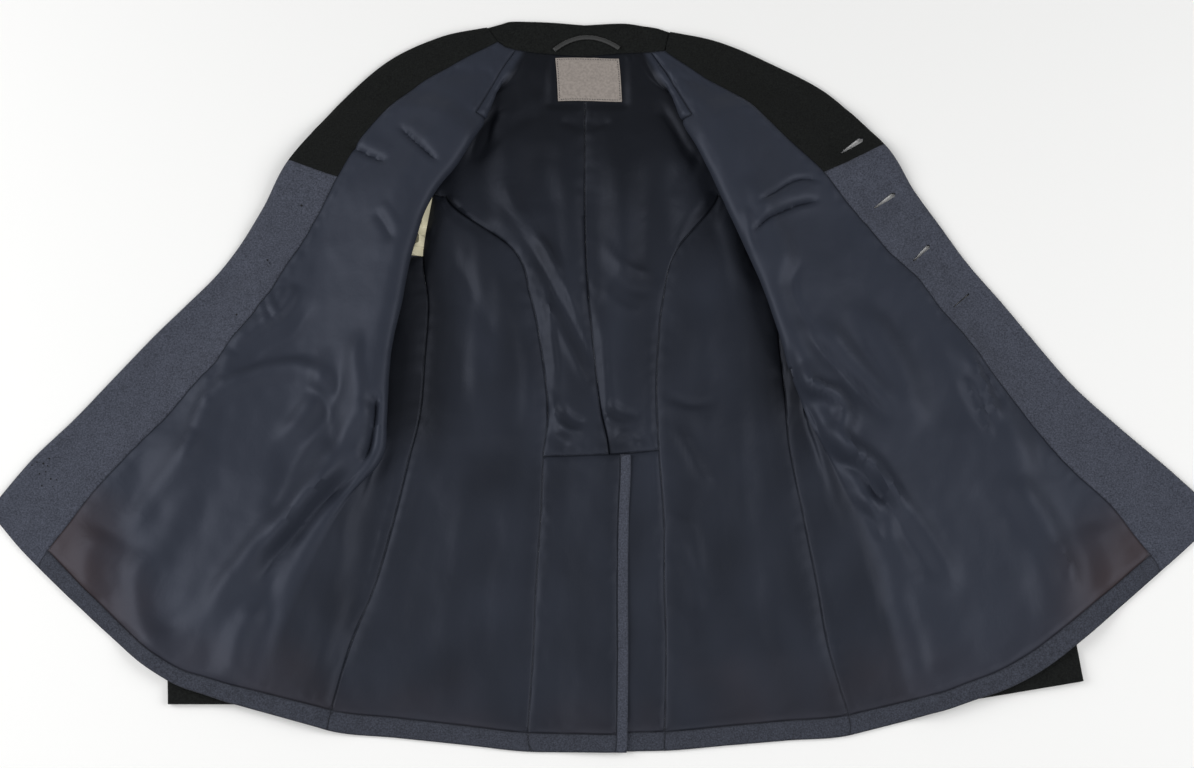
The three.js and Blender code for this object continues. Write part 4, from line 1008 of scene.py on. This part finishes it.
class TunicColours(bpy.types.PropertyGroup):
    """Colours of the tunic's cloths."""

    melange_dark: hex_colour("Wool, dark fibre", "#2d3039", "Dark fibres of the grey shell cloth")
    melange_light: hex_colour("Wool, light fibre", "#4f5360", "Light fibres of the grey shell cloth")
    black: hex_colour("Facecloth", "#0e0f0f", "Collar, lapels and cuffs")
    black_bloom: hex_colour("Facecloth bloom", "#1e201f", "Light nap of collar, lapels and cuffs")
    # The lining's lit colour, and its painted shade colour for the back below the neck and beside the rolls
    satin: hex_colour("Lining", "#2b2f39", "Body lining where the light has faded it")
    satin_painted_shade: hex_colour("Lining, painted shade", "#0d0f13", "Body lining that the fronts kept covered")
    satin_aged: hex_colour("Lining, aged", "#372f31", "Body lining where it has turned brown")
    cream: hex_colour("Sleeve lining", "#e6dfbf", "Lining of the sleeve")
    label: hex_colour("Label", "#8f8781", "Woven label")
    braid: hex_colour("Hanger loop", "#2a2b2b", "Braided hanger loop")
    gilt: hex_colour("Buttons", "#b8924f", "Gilt of the buttons")


class TunicSizes(bpy.types.PropertyGroup):
    """Sizes of the tunic's cloths."""

    cloth: length("Shell cloth", 0.0015, "Thickness of the shell cloth")
    lining: length("Lining", 0.001, "Thickness of lining and facings")
    seam: length("Gap", 0.0003, "Gap between shell and lining")
    puff: length("Ease", 0.0012, "How far the loose lining stands off the shell")


def sizes():
    """Thickness of shell and lining, the gap between them and the lining's ease, in mm."""
    s = bpy.context.scene.tunic_sizes
    return s.cloth / MM, s.lining / MM, s.seam / MM, s.puff / MM


def laid(half, part, keep, low, high, key, soften=0.0, values=None):
    """A piece that is part of a half's surface, in place of the node of the same name."""
    surface = body(half)[0]
    points, faces, used = wall(surface, keep, low, high, soften=soften)
    values = dict(values or {}, edge=edge_distance(surface, keep))
    values = {name: np.concatenate([x[used], x[used]]) for name, x in values.items()}
    return cloth_piece(f"{part}_{half.name}", points, faces, key, values)


def both_halves():
    """Each half with its rows and columns of cells."""
    for half in (LEFT, RIGHT):
        _, row, column, _, _ = body(half)
        yield half, row + 0 * column, column + 0 * row


class TunicShell(bpy.types.Operator):
    """Back, side back and fronts of grey cloth."""

    bl_idname = "tunic.shell"
    bl_label = "Shell"

    def execute(self, _):
        sleeves()
        thick, _, _, _ = sizes()
        for half, v, c in both_halves():
            cut = {"back": is_back(v, c), "side_back": is_side(v, c), "front": is_front(v, c)}
            for part, keep in cut.items():
                laid(half, part, keep, -thick, 0.0, "melange")
        return {"FINISHED"}


def label_distance(grid):
    """How far plan points lie outside the label, in mm."""
    x = np.maximum(LABEL_SPOT[0] - grid[..., 0], grid[..., 0] - LABEL_SPOT[1])
    y = np.maximum(LABEL_SPOT[2] - grid[..., 1], grid[..., 1] - LABEL_SPOT[3])
    return np.hypot(np.maximum(x, 0), np.maximum(y, 0))


class TunicLining(bpy.types.Operator):
    """Loose satin lining of back, sides and fronts."""

    bl_idname = "tunic.lining"
    bl_label = "Lining"

    def execute(self, _):
        _, thick, gap, ease = sizes()
        for half, v, c in both_halves():
            surface, _, _, rows, columns = body(half)
            rows, columns = rows[:, None], columns[None, :]
            inner = STRIP if half is LEFT else CENTRE
            lined = (v < HEM_TOP) & (c < LINING)
            cut = {
                "lining_back": (v < WAIST) & (c > CENTRE) & is_back(v, c),
                "lining_skirt": (v > WAIST) & (c > inner) & (c < PRINCESS),
                "lining_side": is_side(v, c),
                "lining_front": is_front(v, c),
            }
            rise, sink = crease_heights(half, "back", surface.grid)
            shape = (rise - sink) * smooth((10 - columns) / 2)
            waves = sum(height * ripple(surface.grid, size, seed) for height, size, seed in WAVES)
            pucker = ripple(surface.grid, 6, 1.0)
            off_label = smooth(label_distance(surface.grid) / 9)
            # Brown with age towards the hem, most of all on the fronts
            age = smooth((rows - 11.2) / 2.2) * (0.3 + 0.55 * smooth((columns - CHEST) / 3))
            # Painted shade below the neck and beside the rolls, where the fronts overhang the back
            hollow = 0.85 * smooth((9.4 - rows) / 1.6) * smooth((columns - 6.6) / 1.4)
            # Painted light on the back in soft uneven patches, and in full on the fronts
            painted_light_patches = 0.86 + 0.4 * ripple(surface.grid, 34, 17.0)
            back_painted_light = 0.7 * smooth((rows - 1.2) / 5.5) * (1 - hollow) * painted_light_patches
            shades = {"age": age, "fade": np.maximum(back_painted_light, smooth((columns - ARMHOLE) / 3))}
            for part, keep in cut.items():
                keep = keep & lined
                far = edge_distance(surface, keep)
                # The back above the waist is looser, so that troughs have room to sink
                loose = 2.2 * smooth(far / 24) * smooth((WAIST - rows) / 0.5)
                loose = loose * smooth((ARMHOLE - columns) / 2)
                puff = ease * smooth(far / 5) + loose + waves * smooth(far / 22) + shape * smooth(far / 4)
                puff = puff + 1.1 * pucker * smooth(far / 3) * smooth(1 - (far - 4) / 12)
                puff = np.clip(puff, 0, None) * off_label
                laid(half, part, keep, gap, gap + thick + puff, "satin", 0.35, shades)
        return {"FINISHED"}


class TunicFacings(bpy.types.Operator):
    """Black lapels, grey front facings and the vent's facing."""

    bl_idname = "tunic.facings"
    bl_label = "Facings"

    def execute(self, _):
        _, thick, gap, _ = sizes()
        top = gap + thick
        for half, v, c in both_halves():
            laid(half, "lapel_facing", (v < BREAK) & (c > LINING), gap, top, "black", 0.35)
            laid(half, "front_facing", (v > BREAK) & (c > LINING), gap, top, "melange", 0.35)
            if half is LEFT:
                laid(half, "vent_facing", (v > WAIST) & (c < STRIP), gap, top + 0.4, "melange", 0.3)
        return {"FINISHED"}


class TunicHems(bpy.types.Operator):
    """Grey bands that face the hem."""

    bl_idname = "tunic.hems"
    bl_label = "Hem bands"

    def execute(self, _):
        _, thick, gap, _ = sizes()
        for half, v, c in both_halves():
            inner = STRIP if half is LEFT else CENTRE
            spans = {"hem_back": (inner, PRINCESS), "hem_side": (PRINCESS, SIDE), "hem_front": (SIDE, LINING)}
            for part, (start, end) in spans.items():
                keep = (v > HEM_TOP) & (c > start) & (c < end)
                laid(half, part, keep, gap, gap + thick + 0.5, "hem", 0.5)
        return {"FINISHED"}


SLEEVES = {}


def sleeves():
    """The surfaces of both sleeves, whose walls meet the body's in a mitre at the armhole, made once."""
    if SLEEVES:
        return SLEEVES
    for half in (LEFT, RIGHT):
        surface, _, _, v, u = body(half)
        start, end = nearest(v, SHOULDER), nearest(v, UNDERARM)
        near, far = nearest(u, SIDE), nearest(u, ARMHOLE)
        hole = [(r, near) for r in range(start, end)] + [(end, c) for c in range(near, far)]
        hole += [(r, far) for r in range(end, start, -1)] + [(start, c) for c in range(far, near, -1)]
        across, around = end - start, far - near
        rings = half.sleeve
        grid = np.empty((len(hole), len(rings) + 1, 3))
        grid[:, 0] = [surface.grid[r, c] for r, c in hole]
        for k, (outer, inner) in enumerate(rings):
            hollow = SLEEVE_HOLLOW if k else (SLEEVE_HOLLOW + ARMHOLE_HOLLOW) / 2
            radius = hollow / 2
            first, last = rings[max(0, k - 1)], rings[min(len(rings) - 1, k + 1)]
            outwards = []
            for edge, sign in ((0, -half.turn), (1, half.turn)):
                way = unit(last[edge] - first[edge])
                outwards.append(np.array([-way[1], way[0]]) * sign)
            ends = [p - n * (radius + 1.5) for p, n in zip((outer, inner), outwards)]
            for i in range(len(hole)):
                if i <= across or across + around <= i <= 2 * across + around:
                    under = i <= across
                    t = i / across if under else (2 * across + around - i) / across
                    p, z = mix(ends[0], ends[1], t), 0 if under else hollow
                else:
                    at = 1 if i < across + around else 0
                    angle = math.pi * ((i - across) if at else (2 * (across + around) - i)) / around
                    p = ends[at] + outwards[at] * radius * math.sin(angle)
                    z = radius * (1 - math.cos(angle))
                grid[i, k + 1] = (*p, 1.5 + z)
        counts = [8] + [6] * (len(rings) - 1)
        fine = refined(grid, divided(counts))
        # The first stretch, from the armhole to the first ring, is straight
        straight = np.linspace(0, 1, counts[0] + 1)[None, :, None]
        fine[:, : counts[0] + 1] = mix(grid[:, :1], grid[:, 1:2], straight)
        fine[..., 2] = np.maximum(fine[..., 2], LOWEST)
        exists = np.ones((len(hole), fine.shape[1] - 1), bool)
        sleeve = Surface(fine, half.turn, exists, closed=True)
        for i, (r, c) in enumerate(hole):
            shared = unit(surface.normals[r, c] + sleeve.normals[i, 0])
            surface.normals[r, c] = sleeve.normals[i, 0] = shared
        SLEEVES[half.name] = (sleeve, across, counts)
    return SLEEVES


class TunicSleeves(bpy.types.Operator):
    """Flat sleeves under the fronts, with their cuffs and the lining that shows in one armhole."""

    bl_idname = "tunic.sleeves"
    bl_label = "Sleeves"

    def execute(self, _):
        thick, lining, gap, _ = sizes()
        for half in (LEFT, RIGHT):
            sleeve, across, counts = sleeves()[half.name]
            shape = sleeve.exists.shape
            i = np.arange(shape[0])[:, None] + 0 * np.arange(shape[1])[None, :]
            k = np.arange(shape[1])[None, :] + 0 * i
            cuff = sum(counts[:-1])
            cut = {
                "sleeve_under": (k < cuff) & (i < across),
                "sleeve_top": (k < cuff) & (i >= across),
                "cuff": k >= cuff,
            }
            for part, keep in cut.items():
                points, faces, _ = wall(sleeve, keep, -thick, 0.0)
                cloth_piece(f"{part}_{half.name}", points, faces, "black" if part == "cuff" else "melange")
            if half is LEFT:
                keep = (k < sum(counts[:2])) & (i > 0) & (i < across)
                rise, sink = crease_heights(half, "sleeve", sleeve.grid)
                pleat = np.maximum(2.5 + rise - sink, 0) * smooth(edge_distance(sleeve, keep) / 2)
                points, faces, _ = wall(sleeve, keep, gap, gap + lining + pleat)
                cloth_piece("sleeve_lining_left", points, faces, "cream")
        return {"FINISHED"}


class TunicCollar(bpy.types.Operator):
    """Stand collar folded over at its roll, with its leaf beneath."""

    bl_idname = "tunic.collar"
    bl_label = "Collar"

    def execute(self, _):
        rows, low, high = [], 0.8, 4.2
        for half in (LEFT, RIGHT):
            surface, _, _, _, u = body(half)
            stations = half.collar if half is LEFT else [LEFT_COLLAR[-1]] + half.collar
            numbers = np.array([s[0] for s in stations], float)
            chosen = np.nonzero((u >= CENTRE) & (u <= LINING))[0]
            chosen = chosen[::-1] if half is LEFT else chosen[1:]
            ordered = np.argsort(numbers)
            for c in chosen:
                place = np.interp(u[c], numbers[ordered], ordered)
                top, leaf = (curved([s[k] for s in stations], np.array([place]))[0] for k in (1, 2))
                neck = surface.grid[0, c, :2]
                up = unit(top - neck)
                rows.append([
                    (*neck, high), (*mix(neck, top, 0.5), high), (*top, high), (*(top + 1.7 * up), 2.5),
                    (*top, low), (*mix(top, leaf, 0.5), low), (*leaf, low),
                ])
        grid = refined(np.array(rows, float), divided([4, 4, 3, 3, 5, 5]))
        grid[..., 2] = np.clip(grid[..., 2], low, high)
        exists = np.ones((grid.shape[0] - 1, grid.shape[1] - 1), bool)
        surface = Surface(grid, -1, exists)
        points, faces, _ = wall(surface, exists, -1.4, 0.8, soften=0.3)
        cloth_piece("collar", points, faces, "black")
        return {"FINISHED"}


class TunicTrim(bpy.types.Operator):
    """Bare woven label and braided hanger loop."""

    bl_idname = "tunic.trim"
    bl_label = "Label and loop"

    def execute(self, _):
        surface, _, _, v, u = body(LEFT)
        r = np.nonzero((v > 0.05) & (v < 1.62))[0]
        centre = surface.grid[r, nearest(u, CENTRE)]
        t = np.linspace(0, 1, 61)
        fine = np.linspace(0, len(r) - 1, 2 * len(r) - 1)
        rows = np.stack([np.interp(fine, np.arange(len(r)), column) for column in centre.T], axis=1)
        down = np.linspace(0, 1, len(rows))[:, None]
        grid = np.empty((len(rows), len(t), 3))
        grid[..., 0] = mix(-42, 22, t)[None, :] + 3 * down
        grid[..., 1] = rows[:, 1:2] + 0.6 * np.sin(5 * t)[None, :]
        wrinkle = np.exp(-(((t - 0.62) / 0.05) ** 2))[None, :] * smooth(1 - down)
        wrinkle = wrinkle + 0.5 * np.exp(-(((down - 0.3) / 0.06) ** 2)) * smooth(1 - 2 * t)[None, :]
        grid[..., 2] = rows[:, 2:3] + 1.55 + 0.5 * wrinkle + 0.15 * np.sin(9 * t + 1)[None, :]
        exists = np.ones((grid.shape[0] - 1, grid.shape[1] - 1), bool)
        surface = Surface(grid, -1, exists)
        points, faces, used = wall(surface, exists, 0.0, 0.9, soften=0.3)
        edge = edge_distance(surface, exists)
        values = {"edge": np.concatenate([edge[used], edge[used]])}
        cloth_piece("label", points, faces, "label", values)

        s = np.linspace(0, 1, 41)[:, None]
        ends, peak = np.array([[-43, 347.5], [22, 349.5]]), np.array([-12, 374])
        line = (1 - s) ** 2 * ends[0] + 2 * s * (1 - s) * peak + s**2 * ends[1]
        way = unit(np.gradient(line, axis=0))
        side = np.stack([-way[:, 1], way[:, 0]], axis=1)
        around = 12
        turns = np.arange(around) / around * 2 * math.pi
        ring = []
        for i, (p, n) in enumerate(zip(line, side)):
            twist = 1 + 0.06 * math.cos(2.4 * i)
            for angle in turns:
                ring.append((*(p + n * 2.3 * math.cos(angle) * twist), 6.4 + 1.1 * math.sin(angle) * twist))
        faces = []
        for i in range(len(line) - 1):
            for k in range(around):
                a, b = i * around + k, i * around + (k + 1) % around
                faces.append((a, b, b + around, a + around))
        end = (len(line) - 1) * around
        faces += [tuple(range(around - 1, -1, -1)), tuple(range(end, end + around))]
        loop = linked("hanger_loop_cord", ring, faces, material("braid"))
        loop.data.shade_smooth()
        finished(loop, "hanger_loop", "braid")
        return {"FINISHED"}


def rooted(piece):
    """Moves an object's place into its mesh."""
    pick_only(piece)
    bpy.ops.object.transform_apply(location=True, rotation=True, scale=True)
    return piece


class TunicButtons(bpy.types.Operator):
    """Domed gilt buttons, face down under the left front, on their shanks."""

    bl_idname = "tunic.buttons"
    bl_label = "Buttons"

    def execute(self, _):
        for n, (x, y) in enumerate(BUTTONS):
            node = f"button_{n + 1}"
            _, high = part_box(node)
            place = ((x - MIDDLE[0]) * MM, (y - MIDDLE[1]) * MM)
            pick_only()
            bpy.ops.mesh.primitive_uv_sphere_add(
                segments=40, ring_count=20, radius=0.01, location=(*place, 0.0026)
            )
            dome = bpy.context.object
            dome.scale = (1, 1, 0.26)
            rooted(dome)
            pick_only()
            bottom, top = 0.003, high.z
            bpy.ops.mesh.primitive_cylinder_add(
                vertices=20, radius=0.0022, depth=top - bottom, location=(*place, (top + bottom) / 2)
            )
            shank = rooted(bpy.context.object)
            pick_only(dome, shank)
            bpy.ops.object.join()
            dome.name = node + "_gilt"
            dome.data.materials.append(material("gilt"))
            bpy.ops.object.shade_smooth_by_angle(angle=BUTTON_SMOOTH_ANGLE)
            finished(dome, node, "gilt")
        return {"FINISHED"}


class TunicButtonholes(bpy.types.Operator):
    """Buttonholes cut through the right front and its facings."""

    bl_idname = "tunic.buttonholes"
    bl_label = "Buttonholes"

    def execute(self, _):
        for start, end, narrow, wide in BUTTONHOLES:
            a, b = (np.array(p, float) - np.array(MIDDLE) for p in (start, end))
            middle, way = (a + b) / 2, unit(b - a)
            side = np.array([-way[1], way[0]])
            waist = mix(a, b, 0.6)
            shape = [
                a - way, a + side * narrow / 2, waist + side * wide * 0.4, b + side * wide / 2,
                b + way * wide / 2, b - side * wide / 2, waist - side * wide * 0.4, a - side * narrow / 2,
            ]
            count = len(shape)
            points = [(*(p * MM), z) for z in (-0.01, 0.05) for p in shape]
            faces = [tuple(range(count - 1, -1, -1)), tuple(range(count, 2 * count))]
            faces += [(k, (k + 1) % count, count + (k + 1) % count, count + k) for k in range(count)]
            if np.cross(np.array(points[1]) - points[0], np.array(points[2]) - points[1])[2] < 0:
                faces = [face[::-1] for face in faces]
            mesh = bpy.data.meshes.new("slit")
            mesh.from_pydata(points, [], faces)
            cutter = bpy.data.objects.new("slit", mesh)
            bpy.context.collection.objects.link(cutter)
            for name in ("front_right", "lapel_facing_right", "front_facing_right"):
                piece = bpy.data.objects[name + "_cloth"]
                spots = np.array([v.co[:2] for v in piece.data.vertices])
                low, high = spots.min(axis=0) - 0.02, spots.max(axis=0) + 0.02
                if (middle * MM < low).any() or (middle * MM > high).any():
                    continue
                pick_only(piece)
                cut = piece.modifiers.new("buttonhole", "BOOLEAN")
                cut.operation, cut.object, cut.solver = "DIFFERENCE", cutter, "EXACT"
                bpy.ops.object.modifier_apply(modifier=cut.name)
            bpy.data.objects.remove(cutter)
        return {"FINISHED"}


class TunicStage(bpy.types.Operator):
    """Pale table, soft studio light and the camera of the photo."""

    bl_idname = "tunic.stage"
    bl_label = "Stage"

    def execute(self, _):
        scene = bpy.context.scene
        pick_only()
        bpy.ops.mesh.primitive_plane_add(size=12, location=(0, 0, -0.0004))
        floor = bpy.context.object
        floor.name = "table_top"
        paint = principled("matt white laminate", Base_Color=linear("#f8f8f7"), Roughness=0.9)[0]
        floor.data.materials.append(paint)
        for name, place, size, power in (
            ("softbox_left", (-2.0, 0.1, 1.5), 1.7, 41),
            ("softbox_right", (2.0, -0.1, 1.6), 1.6, 31),
            ("softbox_front", (0.1, -1.9, 2.1), 1.6, 17),
        ):
            pick_only()
            bpy.ops.object.light_add(type="AREA", location=place)
            light = bpy.context.object
            light.name = name
            light.data.size, light.data.energy = size, power
            light.rotation_euler = (-Vector(place)).to_track_quat("-Z", "Y").to_euler()
        world = bpy.data.worlds.new("studio")
        world.use_nodes = True
        background = world.node_tree.nodes["Background"]
        background.inputs["Color"].default_value = (1, 1, 1, 1)
        background.inputs["Strength"].default_value = 0.22
        scene.world = world
        data = bpy.data.cameras.new("camera")
        data.sensor_width, data.lens = 36, 59.67
        camera = bpy.data.objects.new("camera", data)
        scene.collection.objects.link(camera)
        angle = math.radians(74)
        target = Vector((-MIDDLE[0] * MM, -MIDDLE[1] * MM, 0))
        back = Vector((0, -math.cos(angle), math.sin(angle)))
        camera.location = target + back * 1.9
        camera.rotation_euler = (-back).to_track_quat("-Z", "Y").to_euler()
        scene.camera = camera
        scene.view_settings.view_transform = "Standard"
        return {"FINISHED"}


class TunicPanel(bpy.types.Panel):
    """The tunic's pieces in the sidebar."""

    bl_idname = "VIEW3D_PT_tunic"
    bl_label = "Tunic"
    bl_space_type = "VIEW_3D"
    bl_region_type = "UI"
    bl_category = "Tunic"

    def draw(self, context):
        for group in (context.scene.tunic_sizes, context.scene.tunic_colours):
            for key in group.__annotations__:
                self.layout.prop(group, key)
        for operator in OPERATORS:
            self.layout.operator(operator.bl_idname)


OPERATORS = (
    TunicShell, TunicLining, TunicFacings, TunicHems, TunicSleeves, TunicCollar, TunicTrim, TunicButtons,
    TunicButtonholes, TunicStage,
)
CLASSES = (TunicColours, TunicSizes, *OPERATORS, TunicPanel)


def register():
    """Adds the classes and the scene's settings."""
    for item in CLASSES:
        bpy.utils.register_class(item)
    bpy.types.Scene.tunic_colours = PointerProperty(type=TunicColours)
    bpy.types.Scene.tunic_sizes = PointerProperty(type=TunicSizes)


def unregister():
    """Takes them away again."""
    del bpy.types.Scene.tunic_colours
    del bpy.types.Scene.tunic_sizes
    for item in reversed(CLASSES):
        bpy.utils.unregister_class(item)


def main():
    """Builds the whole tunic and its stage."""
    register()
    for operator in OPERATORS:
        group, name = operator.bl_idname.split(".")
        getattr(getattr(bpy.ops, group), name)()


if __name__ == "__main__":
    main()
